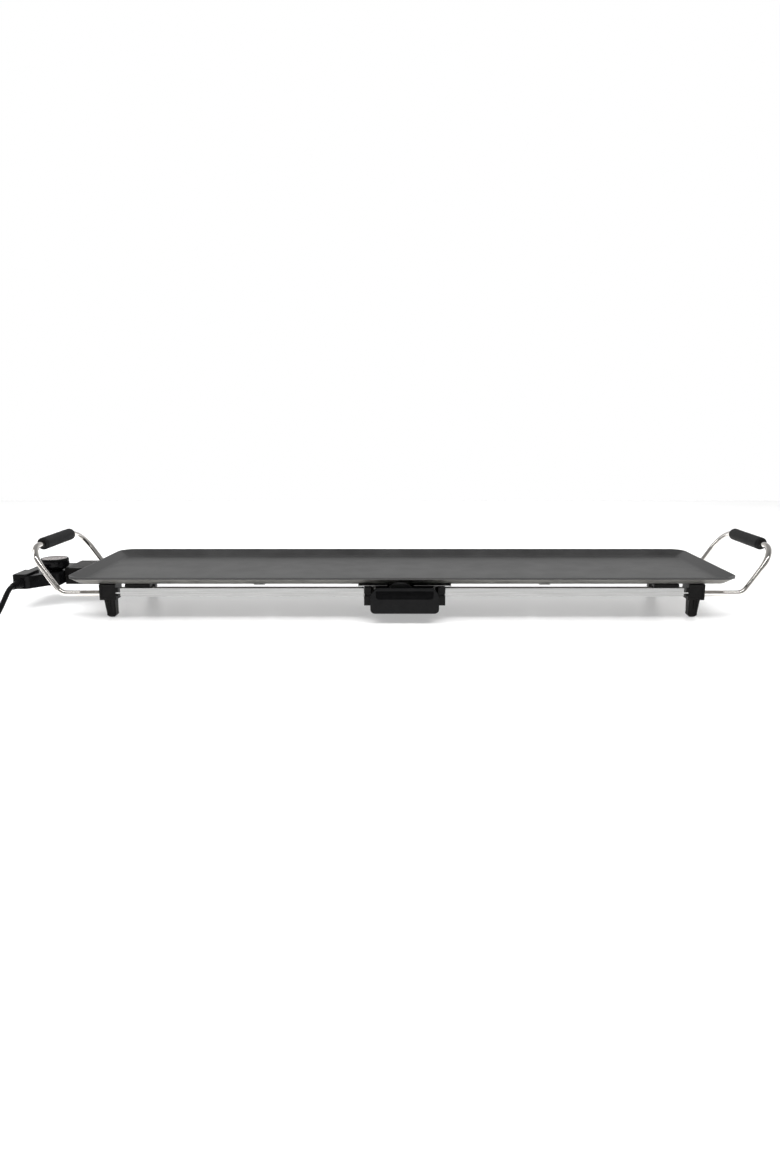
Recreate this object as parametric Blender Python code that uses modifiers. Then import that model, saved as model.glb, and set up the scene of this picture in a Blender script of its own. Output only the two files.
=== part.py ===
"""An electric griddle: a long coated pan on four legs, with a plug-in thermostat and a drip tray.

Every place below is in griddle coordinates, in metres: X runs along the pan to the right, Y to the
back and Z up, with zero at the middle of the pan and on the table. The root frame then moves the
whole object, so that the world's origin is under the middle of the object's box without its lead.
"""

import math

import bmesh
import bpy
from mathutils import Matrix, Vector

GAP = 0.0003

# Pan
RIM_X = 0.450
RIM_Y = 0.115
RIM_Z = 0.060
RIM_CORNER = 0.022
RIM_LIP = 0.0015
WALL_RUN = 0.0145
PAN_DEPTH = 0.009
PAN_WALL = 0.003
PAN_BOTTOM = RIM_Z - PAN_DEPTH - PAN_WALL
UNDER_PAN = PAN_BOTTOM - GAP
PAN_FILLET = 0.003
FLOOR_MIDDLE = PAN_BOTTOM + PAN_WALL / 2
BLIND_TOP = PAN_BOTTOM + 0.0018

# Drain
DRAIN_X = -0.002
DRAIN_Y = -0.090
DRAIN_RADIUS = 0.005
SPOUT_RADIUS = 0.022
SPOUT_TOP = 0.0523
SPOUT_BOTTOM = 0.0455
SPOUT_FRONT = -0.1085
SPOUT_BACK = -0.080

# Legs
LEG_INNER = 0.387
LEG_OUTER = 0.4092
LEG_Y = 0.088
LEG_FRONT = 0.102
LEG_BACK = 0.0745
LEG_BLOCK_BOTTOM = 0.0264
SHAFT_INNER = 0.3912
SHAFT_OUTER = 0.4062
SHAFT_TOE = 0.4030
LEG_BOSS_X = 0.402
LEG_BOSS_Y = 0.065
LEG_BOSS_BOTTOM = 0.0425

# Rails
RAIL_Y = 0.100
RAIL_SHEET = 0.001
RAIL_BOTTOM = 0.031
RAIL_TOP = 0.043
RAIL_FLANGE = 0.008
RAIL_END = 0.381
TAB_END = 0.3895
TAB_BOTTOM = 0.0349
TAB_TOP = 0.0371

# Handles
TUBE_RADIUS = 0.004
TUBE_Z = 0.0325
TUBE_START = 0.394
TUBE_FOOT_X = 0.466
BAR_X = 0.506
BAR_Z = 0.0937
FOOT_BEND = 0.015
TOP_BEND = 0.034
GRIP_RADIUS = 0.0088
GRIP_HALF = 0.047
GRIP_Y = 0.005

# Drip tray and its runners
TRAY_X = 0.0035
PANEL_HALF = 0.0455
PANEL_FRONT = -0.1285
PANEL_SHEET = 0.006
PANEL_BOTTOM = 0.014
PANEL_TOP = 0.048
TRAY_HALF = 0.042
TRAY_BACK = -0.008
TRAY_BOTTOM = 0.0165
TRAY_TOP = 0.036
TRAY_WALL = 0.0018
TRAY_LIP = 0.0515
RUNNER_HALF = 0.0545
RUNNER_FRONT = -0.1105
RUNNER_BACK = -0.012
RUNNER_BOTTOM = 0.021
RUNNER_TOP = 0.0383
RUNNER_POST_TOP = 0.0453
HOLDER_HALF = 0.0627
HOLDER_FRONT = -0.1045
HOLDER_BACK = -0.0625
HOLDER_BOTTOM = 0.0456
HOLDER_SCREW_X = 0.0585
HOLDER_SCREW_Y = -0.0775

# Heating element
ELEMENT_RADIUS = 0.00325
ELEMENT_Z = UNDER_PAN - ELEMENT_RADIUS
ELEMENT_HALF_Y = 0.055
ELEMENT_LEFT = -0.362
ELEMENT_RIGHT = 0.378
PIN_Z = 0.040
PIN_TIP = -0.476
PROBE_Y = 0.025
PIN_PITCH = 0.025
ELEMENT_BARS = (-0.20, 0.20)

# Socket guard
GUARD_LEFT = -0.4930
GUARD_STEP = -0.4425
GUARD_RIGHT = -0.424
GUARD_FRONT = -0.008
GUARD_BACK = 0.058
GUARD_BOTTOM = 0.028
GUARD_TOP = 0.052
GUARD_WALL = 0.002
GUARD_SCREW_X = -0.419
GUARD_SCREW_YS = (-0.001, 0.051)

# Thermostat casing
CASE_LEFT = -0.551
CASE_RIGHT = -0.4945
CASE_FRONT = -0.027
CASE_BACK = 0.057
CASE_BOTTOM = 0.030
CASE_SPLIT = 0.040
CASE_TOP = 0.048
CASE_WALL = 0.002
ARM_RIGHT = -0.530
ARM_FRONT = -0.050
ARM_TOP = 0.051
NOSE_END = -0.446
NOSE_FRONT = -0.004
NOSE_BACK = 0.054
NOSE_BOTTOM = 0.0315
NOSE_TOP = 0.0475
CASE_SCREWS = ((-0.545, 0.051), (-0.503, 0.0515))
ARM_SCREW = (-0.5405, -0.025)
LENS_X = -0.528
LENS_Y = 0.040

# Knob
KNOB_X = -0.510
KNOB_Y = 0.0
KNOB_BOTTOM = 0.050
KNOB_TOP = 0.066
KNOB_RADIUS = 0.0198
SPINDLE_RADIUS = 0.003

# Small screws: head radius, shank radius and head height
SMALL_SCREW = (0.0030, 0.0015, 0.0018)
SMALL_HOLE = 0.0018

# Probe
PROBE_RADIUS = 0.003
PROBE_TIP = -0.385

# Lead
CORD_RADIUS = 0.0035
CORD_X = -0.5395
CORD_Z = 0.0385
BOOT_LENGTH = 0.022
COIL_X = -0.5805
COIL_Y = -0.200
COIL_RADIUS = 0.038
COIL_TURNS_WIDE = 3
COIL_TURNS_HIGH = 2
COIL_SLACK = 0.0002
OUTER_TURN = COIL_RADIUS + CORD_RADIUS * (COIL_TURNS_WIDE - 1)
COIL_OUTER = OUTER_TURN + CORD_RADIUS + COIL_SLACK
COIL_INNER = 2 * COIL_RADIUS - COIL_OUTER
COIL_HEIGHT = 2 * CORD_RADIUS * COIL_TURNS_HIGH + COIL_SLACK
UPPER_TURN_Z = COIL_HEIGHT - CORD_RADIUS
PLUG_X = -0.628
PLUG_Z = 0.0185
PLUG_BOOT_Y = -0.1135
PLUG_FACE_Y = -0.052
PLUG_PIN_PITCH = 0.019

# The object's box without the lead: the thermostat's end, the right grip, the tray and the pan's rim
SHIFT_X = -(CASE_LEFT + BAR_X + GRIP_RADIUS) / 2
SHIFT_Y = -(PANEL_FRONT + RIM_Y) / 2


# ---------------------------------------------------------------- scene, materials and frames


def clear_scene():
    for obj in list(bpy.data.objects):
        bpy.data.objects.remove(obj, do_unlink=True)


def new_collection(name):
    collection = bpy.data.collections.new(name)
    bpy.context.scene.collection.children.link(collection)
    return collection


def new_material(name, colour, roughness, metallic=0.0):
    material = bpy.data.materials.new(name)
    material.use_nodes = True
    shader = material.node_tree.nodes["Principled BSDF"]
    shader.inputs["Base Color"].default_value = (*colour, 1.0)
    shader.inputs["Roughness"].default_value = roughness
    shader.inputs["Metallic"].default_value = metallic
    return material


clear_scene()
PARTS = new_collection("electric_griddle")
CUTTERS = new_collection("cutters")

COATING = new_material("non_stick_coating", (0.085, 0.085, 0.088), 0.45)
CHROME = new_material("chrome_plate", (0.75, 0.75, 0.76), 0.12, 1.0)
STEEL = new_material("bare_steel", (0.50, 0.50, 0.50), 0.35, 1.0)
BRASS = new_material("brass", (0.72, 0.55, 0.26), 0.30, 1.0)
BLACK_PLASTIC = new_material("black_plastic", (0.012, 0.012, 0.013), 0.25)
BLACK_PHENOLIC = new_material("black_phenolic", (0.016, 0.016, 0.016), 0.40)
FOAM = new_material("foam_rubber", (0.030, 0.030, 0.031), 0.85)
CERAMIC = new_material("ceramic", (0.72, 0.69, 0.62), 0.60)
SILVER = new_material("silver_foil", (0.80, 0.78, 0.77), 0.25, 1.0)
LENS = new_material("orange_lens", (0.80, 0.20, 0.04), 0.15)
PVC = new_material("black_pvc", (0.018, 0.018, 0.019), 0.45)


def new_frame(name, place, parent=None):
    """An empty on a body's reference point or joint axis."""
    frame = bpy.data.objects.new(name, None)
    PARTS.objects.link(frame)
    frame.parent = parent
    frame.location = Vector(place) - (origin_of(parent) if parent else Vector())
    return frame


def origin_of(frame):
    """A frame's place in griddle coordinates. The root's own shift doesn't count."""
    origin = Vector()
    while frame.parent:
        origin += frame.location
        frame = frame.parent
    return origin


ROOT = new_frame("griddle_frame", (SHIFT_X, SHIFT_Y, 0.0))
TRAY = new_frame("tray_slide_frame", (TRAY_X, PANEL_FRONT, PANEL_BOTTOM), ROOT)
CONTROLLER = new_frame("controller_slide_frame", (GUARD_LEFT, PROBE_Y, PIN_Z), ROOT)
KNOB = new_frame("knob_turn_frame", (KNOB_X, KNOB_Y, KNOB_BOTTOM), CONTROLLER)


def place(name, data, at, material, frame, rotation=None):
    """Makes an object from a mesh or curve, with its origin at this place in griddle coordinates."""
    piece = bpy.data.objects.new(name, data)
    PARTS.objects.link(piece)
    piece.parent = frame
    piece.location = Vector(at) - origin_of(frame)
    if rotation is not None:
        piece.rotation_euler = rotation.to_euler()
    if material:
        data.materials.append(material)
    return piece


# ---------------------------------------------------------------- shapes

ALONG = {
    "X": Matrix(((0, 0, 1), (1, 0, 0), (0, 1, 0))),
    "Y": Matrix(((1, 0, 0), (0, 0, -1), (0, 1, 0))),
    "Z": Matrix.Identity(3),
}


def mesh_from(shape, name):
    mesh = bpy.data.meshes.new(name)
    shape.to_mesh(mesh)
    shape.free()
    return mesh


def box(name, low, high, material=None, frame=ROOT, bevel=0.0, segments=2):
    """A box between two opposite corners, given in any order."""
    low, high = Vector(low), Vector(high)
    size = [abs(b - a) for a, b in zip(low, high)]
    shape = bmesh.new()
    bmesh.ops.create_cube(shape, size=1.0)
    bmesh.ops.scale(shape, vec=size, verts=shape.verts)
    piece = place(name, mesh_from(shape, name), (low + high) / 2, material, frame)
    if bevel:
        add_bevel(piece, bevel, segments)
    return piece


def add_bevel(piece, width, segments=2):
    bevel = piece.modifiers.new("rounded_edges", "BEVEL")
    bevel.width = width
    bevel.segments = segments
    bevel.limit_method = "ANGLE"
    bevel.angle_limit = math.radians(40)
    return bevel


def cylinder(name, start, end, radius, material=None, frame=ROOT, sides=16):
    """A cylinder between two points."""
    start, end = Vector(start), Vector(end)
    axis = end - start
    shape = bmesh.new()
    bmesh.ops.create_cone(
        shape,
        cap_ends=True,
        segments=sides,
        radius1=radius,
        radius2=radius,
        depth=axis.length,
    )
    turn = axis.to_track_quat("Z", "Y").to_matrix()
    piece = place(name, mesh_from(shape, name), (start + end) / 2, material, frame, turn)
    shade_round(piece)
    return piece


def shade_round(piece):
    piece.data.shade_smooth()
    piece.data.set_sharp_from_angle(angle=math.radians(35))


def turned(name, profile, at, material, frame=ROOT, steps=24, closed=False, rotation=None):
    """A turned shape. The profile's (radius, height) points run down its outer side."""
    shape = bmesh.new()
    points = [shape.verts.new((radius, 0.0, height)) for radius, height in profile]
    for first, second in zip(points, points[1:]):
        shape.edges.new((first, second))
    if closed:
        shape.edges.new((points[-1], points[0]))
    piece = place(name, mesh_from(shape, name), at, material, frame, rotation)
    screw = piece.modifiers.new("turned", "SCREW")
    screw.steps = steps
    screw.render_steps = steps
    screw.use_merge_vertices = True
    screw.merge_threshold = 0.00001
    return piece


def extruded(name, outline, low, high, along, material=None, frame=ROOT):
    """A flat outline given a thickness from low to high along X, Y or Z.

    The outline is in (Y, Z) along X, in (X, Z) along Y and in (X, Y) along Z.
    """
    middle = (low + high) / 2
    at = {"X": (middle, 0, 0), "Y": (0, middle, 0), "Z": (0, 0, middle)}[along]
    curve = bpy.data.curves.new(name, "CURVE")
    curve.dimensions = "2D"
    curve.fill_mode = "BOTH"
    curve.extrude = abs(high - low) / 2
    spline = curve.splines.new("POLY")
    spline.points.add(len(outline) - 1)
    for point, (across, up) in zip(spline.points, outline):
        point.co = (across, up, 0.0, 1.0)
    spline.use_cyclic_u = True
    outlined = place(name, curve, at, None, frame, ALONG[along])
    return solid_from_curve(outlined, material)


def solid_from_curve(outlined, material):
    """Turns a curve object into a welded mesh object at the same place, and removes the curve."""
    bpy.context.view_layer.update()
    evaluated = outlined.evaluated_get(bpy.context.evaluated_depsgraph_get())
    mesh = bpy.data.meshes.new_from_object(evaluated)
    shape = bmesh.new()
    shape.from_mesh(mesh)
    bmesh.ops.remove_doubles(shape, verts=shape.verts, dist=0.000001)
    bmesh.ops.recalc_face_normals(shape, faces=shape.faces)
    shape.to_mesh(mesh)
    shape.free()
    name = outlined.name
    place_held = outlined.matrix_basis.copy()
    parent = outlined.parent
    bpy.data.objects.remove(outlined, do_unlink=True)
    piece = bpy.data.objects.new(name, mesh)
    PARTS.objects.link(piece)
    piece.parent = parent
    piece.matrix_basis = place_held
    mesh.materials.clear()
    if material:
        mesh.materials.append(material)
    return piece


def rounded(corners, steps=4):
    """An outline whose (x, y, radius) corners are rounded by arcs."""
    outline = []
    for index, (x, y, radius) in enumerate(corners):
        corner = Vector((x, y))
        before = Vector(corners[index - 1][:2])
        after = Vector(corners[(index + 1) % len(corners)][:2])
        outline += [tuple(point) for point in corner_arc(corner, before, after, radius, steps)]
    return outline


def corner_arc(corner, before, after, radius, steps):
    """The points of an arc that rounds the corner between two neighbours, in 2D or 3D."""
    if radius == 0:
        return [corner]
    back = (before - corner).normalized()
    on = (after - corner).normalized()
    half = back.angle(on) / 2
    reach = radius / math.tan(half)
    centre = corner + (back + on).normalized() * (radius / math.sin(half))
    first = corner + back * reach - centre
    last = corner + on * reach - centre
    sweep = first.angle(last)
    points = []
    for step in range(steps + 1):
        share = step / steps
        weight_first = math.sin((1 - share) * sweep) / math.sin(sweep)
        weight_last = math.sin(share * sweep) / math.sin(sweep)
        points.append(centre + first * weight_first + last * weight_last)
    return points


def bent_route(stations, steps=5):
    """A wire's centre line from (x, y, z, bend radius) stations; the ends have no bend."""
    route = [Vector(stations[0][:3])]
    for before, corner, after in zip(stations, stations[1:], stations[2:]):
        middle = Vector(corner[:3])
        route += corner_arc(middle, Vector(before[:3]), Vector(after[:3]), corner[3], steps)
    route.append(Vector(stations[-1][:3]))
    return route


def tube(name, route, radius, material, frame=ROOT, resolution=2):
    """A round wire or tube along a route, as a curve with a bevel depth."""
    curve = bpy.data.curves.new(name, "CURVE")
    curve.dimensions = "3D"
    curve.bevel_depth = radius
    curve.bevel_resolution = resolution
    curve.use_fill_caps = True
    curve.render_resolution_u = 0
    spline = curve.splines.new("POLY")
    spline.points.add(len(route) - 1)
    for point, at in zip(spline.points, route):
        point.co = (*(Vector(at) - Vector(route[0])), 1.0)
    return place(name, curve, route[0], material, frame)


def smooth_route(stations, spacing):
    """Points about one spacing apart on a smooth curve through the stations."""
    stations = [Vector(station) for station in stations]
    padded = [2 * stations[0] - stations[1], *stations, 2 * stations[-1] - stations[-2]]
    route = [stations[0]]
    for before, start, end, after in zip(padded, padded[1:], padded[2:], padded[3:]):
        pieces = max(1, round((end - start).length / spacing))
        for step in range(1, pieces + 1):
            share = step / pieces
            pull = (end - before) / 2
            push = (after - start) / 2
            square, cube = share * share, share**3
            route.append(
                start * (2 * cube - 3 * square + 1)
                + pull * (cube - 2 * square + share)
                + end * (3 * square - 2 * cube)
                + push * (cube - square)
            )
    return route


def combine(piece, tools, operation):
    for tool in tools:
        step = piece.modifiers.new(tool.name, "BOOLEAN")
        step.object = tool
        step.operation = operation
        PARTS.objects.unlink(tool)
        CUTTERS.objects.link(tool)
        tool.hide_render = True
        tool.display_type = "WIRE"
    return piece


def cut(piece, *tools):
    return combine(piece, tools, "DIFFERENCE")


def join(piece, *tools):
    return combine(piece, tools, "UNION")


def screw(name, at, head_z, top_z, head_radius, shank_radius, head_height, frame=ROOT):
    """A pan-head screw that points up. head_z is the head's upper side, which bears on the piece."""
    x, y = at
    profile = (
        (0.0, top_z),
        (shank_radius, top_z),
        (shank_radius, head_z),
        (head_radius, head_z),
        (head_radius, head_z - head_height * 0.6),
        (head_radius * 0.7, head_z - head_height),
        (0.0, head_z - head_height),
    )
    return turned(name, profile, (x, y, 0.0), STEEL, frame, steps=10)


def screw_hole(name, x, y, low, high):
    """A cutter for a small screw's clearance hole."""
    return cylinder(name, (x, y, low), (x, y, high), SMALL_HOLE, sides=10)


# ---------------------------------------------------------------- pan


def griddle_plate():
    shape = bmesh.new()
    bmesh.ops.create_grid(shape, x_segments=1, y_segments=1, size=1.0)
    bmesh.ops.scale(shape, vec=(RIM_X, RIM_Y, 1.0), verts=shape.verts)
    corners = shape.verts[:]
    bmesh.ops.bevel(
        shape, geom=corners, offset=RIM_CORNER, segments=6, profile=0.5, affect="VERTICES"
    )
    floor = shape.faces[:]
    for run, depth in ((RIM_LIP, 0.0), (WALL_RUN, -PAN_DEPTH)):
        bmesh.ops.inset_region(
            shape,
            faces=floor,
            thickness=run,
            depth=depth,
            use_even_offset=True,
            use_boundary=True,
        )
    foot = [edge for edge in shape.edges if all(vert.co.z < -PAN_DEPTH / 2 for vert in edge.verts)]
    bmesh.ops.bevel(
        shape, geom=foot, offset=PAN_FILLET, segments=2, profile=0.5, affect="EDGES"
    )
    plate = place("griddle_plate", mesh_from(shape, "griddle_plate"), (0, 0, RIM_Z), COATING, ROOT)
    sheet = plate.modifiers.new("cast_wall", "SOLIDIFY")
    sheet.thickness = PAN_WALL
    sheet.offset = -1.0
    sheet.use_even_offset = True
    join(plate, spout_boss(), probe_boss(), *leg_bosses(), *bar_bosses())
    cut(plate, *plate_holes())
    return plate


def spout_boss():
    """The drain's half-round spout, which stands out under the front wall."""
    centre_z = SPOUT_TOP - SPOUT_RADIUS
    start = math.asin((SPOUT_BOTTOM - centre_z) / SPOUT_RADIUS)
    steps = 12
    outline = []
    for step in range(steps + 1):
        angle = start + (math.pi - 2 * start) * step / steps
        outline.append(
            (
                DRAIN_X + SPOUT_RADIUS * math.cos(angle),
                centre_z + SPOUT_RADIUS * math.sin(angle),
            )
        )
    return extruded("spout_boss", outline, SPOUT_FRONT, SPOUT_BACK, "Y")


def probe_boss():
    """The block under the pan that the thermostat's probe reaches into."""
    return box("probe_boss", (-0.416, 0.0165, 0.032), (-0.377, 0.0335, FLOOR_MIDDLE))


def leg_bosses():
    return [
        cylinder(
            "leg_boss",
            (side * LEG_BOSS_X, row * LEG_BOSS_Y, LEG_BOSS_BOTTOM),
            (side * LEG_BOSS_X, row * LEG_BOSS_Y, FLOOR_MIDDLE),
            0.006,
        )
        for side in (-1, 1)
        for row in (-1, 1)
    ]


def bar_bosses():
    return [
        cylinder("bar_boss", (x, 0, 0.0411), (x, 0, FLOOR_MIDDLE), 0.005)
        for x in ELEMENT_BARS
    ]


def plate_holes():
    holes = [
        cylinder("drain_hole", (DRAIN_X, DRAIN_Y, 0.040), (DRAIN_X, DRAIN_Y, 0.056), DRAIN_RADIUS),
        cylinder("probe_bore", (-0.417, PROBE_Y, PIN_Z), (-0.381, PROBE_Y, PIN_Z), 0.0034),
    ]
    for side in (-1, 1):
        for row in (-1, 1):
            holes.append(blind_hole(side * LEG_BOSS_X, row * LEG_BOSS_Y, 0.0023))
        holes.append(blind_hole(TRAY_X + side * HOLDER_SCREW_X, HOLDER_SCREW_Y, 0.0018))
    holes += [blind_hole(x, 0.0, 0.0018) for x in ELEMENT_BARS]
    holes += [blind_hole(GUARD_SCREW_X, y, 0.0018) for y in GUARD_SCREW_YS]
    return holes


def blind_hole(x, y, radius):
    return cylinder("blind_hole", (x, y, 0.040), (x, y, BLIND_TOP), radius, sides=12)


# ---------------------------------------------------------------- heating element


def heating_element():
    """One hairpin loop under the pan; its two cold ends drop a little and become the pins."""
    front_pin = PROBE_Y - PIN_PITCH / 2
    back_pin = PROBE_Y + PIN_PITCH / 2
    stations = (
        (PIN_TIP, front_pin, PIN_Z, 0),
        (-0.415, front_pin, PIN_Z, 0.012),
        (-0.392, front_pin, ELEMENT_Z, 0.012),
        (ELEMENT_LEFT, front_pin, ELEMENT_Z, 0.012),
        (ELEMENT_LEFT, -ELEMENT_HALF_Y, ELEMENT_Z, 0.018),
        (ELEMENT_RIGHT, -ELEMENT_HALF_Y, ELEMENT_Z, 0.022),
        (ELEMENT_RIGHT, ELEMENT_HALF_Y, ELEMENT_Z, 0.022),
        (ELEMENT_LEFT, ELEMENT_HALF_Y, ELEMENT_Z, 0.0085),
        (ELEMENT_LEFT, back_pin, ELEMENT_Z, 0.0085),
        (-0.392, back_pin, ELEMENT_Z, 0.012),
        (-0.415, back_pin, PIN_Z, 0.012),
        (PIN_TIP, back_pin, PIN_Z, 0),
    )
    return tube("heating_element", bent_route(stations, steps=3), ELEMENT_RADIUS, STEEL)


def element_bars():
    """Flat straps under the element, each drawn up by one screw into a boss of the pan."""
    for number, x in enumerate(ELEMENT_BARS, start=1):
        bar = box(
            f"element_bar_{number}",
            (x - 0.008, -0.062, 0.0388),
            (x + 0.008, 0.062, 0.0408),
            STEEL,
        )
        cut(bar, screw_hole("bar_hole", x, 0.0, 0.038, 0.042))
        screw(f"bar_screw_{number}", (x, 0.0), 0.0385, 0.0485, 0.0032, 0.0015, 0.0016)


# ---------------------------------------------------------------- legs


def leg(name, side, row):
    """One leg. side is -1 on the left, row is -1 at the front."""
    body = box(
        name,
        (side * LEG_INNER, row * LEG_FRONT, LEG_BLOCK_BOTTOM),
        (side * LEG_OUTER, row * LEG_BACK, UNDER_PAN),
        BLACK_PHENOLIC,
        bevel=0.0012,
    )
    join(body, leg_shaft(side, row), leg_ear(side, row), *rail_claws(side, row))
    bore = cylinder(
        "tube_bore",
        (side * (TUBE_START - 0.0005), row * LEG_Y, TUBE_Z),
        (side * (LEG_OUTER + 0.002), row * LEG_Y, TUBE_Z),
        TUBE_RADIUS + GAP,
    )
    slot = box(
        "rail_slot",
        (side * (RAIL_END + 0.001), row * (RAIL_Y + 0.001), TAB_BOTTOM - 0.0004),
        (side * (TAB_END + 0.0005), row * (RAIL_Y - 0.001), TAB_TOP + 0.0004),
    )
    hole = cylinder(
        "leg_hole",
        (side * LEG_BOSS_X, row * LEG_BOSS_Y, 0.030),
        (side * LEG_BOSS_X, row * LEG_BOSS_Y, 0.044),
        0.0023,
        sides=14,
    )
    cut(body, bore, slot, hole)
    screw(
        name.replace("leg", "leg_screw"),
        (side * LEG_BOSS_X, row * LEG_BOSS_Y),
        0.0362,
        0.0486,
        0.0042,
        0.0020,
        0.0022,
    )
    return body


def leg_shaft(side, row):
    """The tapered shaft, upright on its inner side, with a rounded toe."""
    top = 0.030
    shape = bmesh.new()
    bmesh.ops.create_cube(shape, size=2.0)
    for vert in shape.verts:
        at_top = vert.co.z > 0
        outer = vert.co.x > 0
        depth = 0.009 if at_top else 0.0065
        vert.co.x = side * ((SHAFT_OUTER if at_top else SHAFT_TOE) if outer else SHAFT_INNER)
        vert.co.y = row * LEG_Y + math.copysign(depth, vert.co.y)
        vert.co.z = top if at_top else 0.0
    bmesh.ops.recalc_face_normals(shape, faces=shape.faces)
    toe = [edge for edge in shape.edges if all(vert.co.z < 0.001 for vert in edge.verts)]
    bmesh.ops.bevel(shape, geom=toe, offset=0.0042, segments=3, profile=0.5, affect="EDGES")
    upright = [
        edge
        for edge in shape.edges
        if abs(edge.verts[0].co.z - edge.verts[1].co.z) > 0.015
    ]
    bmesh.ops.bevel(shape, geom=upright, offset=0.0018, segments=2, profile=0.5, affect="EDGES")
    return place("leg_shaft", mesh_from(shape, "leg_shaft"), (0, 0, 0), None, ROOT)


def leg_ear(side, row):
    """The ear behind the block, which takes the screw into the pan."""
    return box(
        "leg_ear",
        (side * 0.395, row * 0.0575, 0.0365),
        (side * 0.409, row * (LEG_BACK + 0.001), LEG_BOSS_BOTTOM - GAP),
    )


def rail_claws(side, row):
    """Two short prongs that hold the rail's end between them."""
    return [
        box(
            "rail_claw",
            (side * 0.3835, row * 0.1015, low),
            (side * (LEG_INNER + 0.002), row * 0.0965, high),
        )
        for low, high in ((TAB_TOP + 0.0006, 0.0425), (0.0315, TAB_BOTTOM - 0.0006))
    ]


# ---------------------------------------------------------------- rails


def rail(name, start, end, row, tabs):
    """An L-shaped strip along X. Its tabs reach into the legs' slots."""
    outer = RAIL_Y + RAIL_SHEET / 2
    inner = RAIL_Y - RAIL_SHEET / 2
    back = outer - RAIL_FLANGE
    outline = [
        (row * outer, RAIL_BOTTOM),
        (row * outer, RAIL_TOP),
        (row * back, RAIL_TOP),
        (row * back, RAIL_TOP - RAIL_SHEET),
        (row * inner, RAIL_TOP - RAIL_SHEET),
        (row * inner, RAIL_BOTTOM),
    ]
    strip = extruded(name, outline, start, end, "X", CHROME)
    for side in tabs:
        tab = box(
            "rail_tab",
            (side * (RAIL_END - 0.004), row * outer, TAB_BOTTOM),
            (side * TAB_END, row * inner, TAB_TOP),
        )
        join(strip, tab)
    return strip


def rails():
    beside_tray = RUNNER_HALF + 0.0005
    rail("front_rail_left", -RAIL_END, TRAY_X - beside_tray, -1, (-1,))
    rail("front_rail_right", TRAY_X + beside_tray, RAIL_END, -1, (1,))
    rail("rear_rail", -RAIL_END, RAIL_END, 1, (-1, 1))


def rail_spacers():
    """Black blocks between the rails' flanges and the pan."""
    for row, row_name in ((-1, "front"), (1, "rear")):
        for side, side_name in ((-1, "left"), (1, "right")):
            box(
                f"rail_spacer_{row_name}_{side_name}",
                (side * 0.341, row * 0.0985, RAIL_TOP + GAP),
                (side * 0.375, row * 0.0865, UNDER_PAN),
                BLACK_PHENOLIC,
                bevel=0.0008,
                segments=1,
            )


# ---------------------------------------------------------------- handles


def handle(name, side):
    """A tube from one leg up to the grip and down to the other leg, and its foam grip."""
    half = (
        (side * TUBE_START, -LEG_Y, TUBE_Z, 0),
        (side * TUBE_FOOT_X, -LEG_Y, TUBE_Z, FOOT_BEND),
        (side * BAR_X, -LEG_Y, BAR_Z, TOP_BEND),
    )
    other = [(x, -y, z, bend) for x, y, z, bend in reversed(half)]
    tube(f"handle_tube_{name}", bent_route((*half, *other)), TUBE_RADIUS, CHROME, resolution=3)
    bore = TUBE_RADIUS + GAP
    edge = 0.0012
    profile = (
        (bore, GRIP_HALF),
        (GRIP_RADIUS - edge, GRIP_HALF),
        (GRIP_RADIUS, GRIP_HALF - edge),
        (GRIP_RADIUS, -GRIP_HALF + edge),
        (GRIP_RADIUS - edge, -GRIP_HALF),
        (bore, -GRIP_HALF),
    )
    upright_to_y = Matrix.Rotation(math.radians(-90), 3, "X")
    turned(
        f"grip_{name}",
        profile,
        (side * BAR_X, GRIP_Y, BAR_Z),
        FOAM,
        steps=20,
        closed=True,
        rotation=upright_to_y,
    )


# ---------------------------------------------------------------- drip tray and its holder


def tray_holder_plate():
    plate = box(
        "tray_holder_plate",
        (TRAY_X - HOLDER_HALF, HOLDER_FRONT, HOLDER_BOTTOM),
        (TRAY_X + HOLDER_HALF, HOLDER_BACK, UNDER_PAN),
        CHROME,
    )
    notch = box(
        "spout_notch",
        (DRAIN_X - 0.0175, HOLDER_FRONT - 0.002, HOLDER_BOTTOM - 0.001),
        (DRAIN_X + 0.0175, SPOUT_BACK + 0.0005, UNDER_PAN + 0.001),
    )
    holes = [
        screw_hole("holder_hole", x, HOLDER_SCREW_Y, 0.045, 0.049)
        for x in (TRAY_X - HOLDER_SCREW_X, TRAY_X + HOLDER_SCREW_X)
    ]
    cut(plate, notch, *holes)
    return plate


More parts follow.
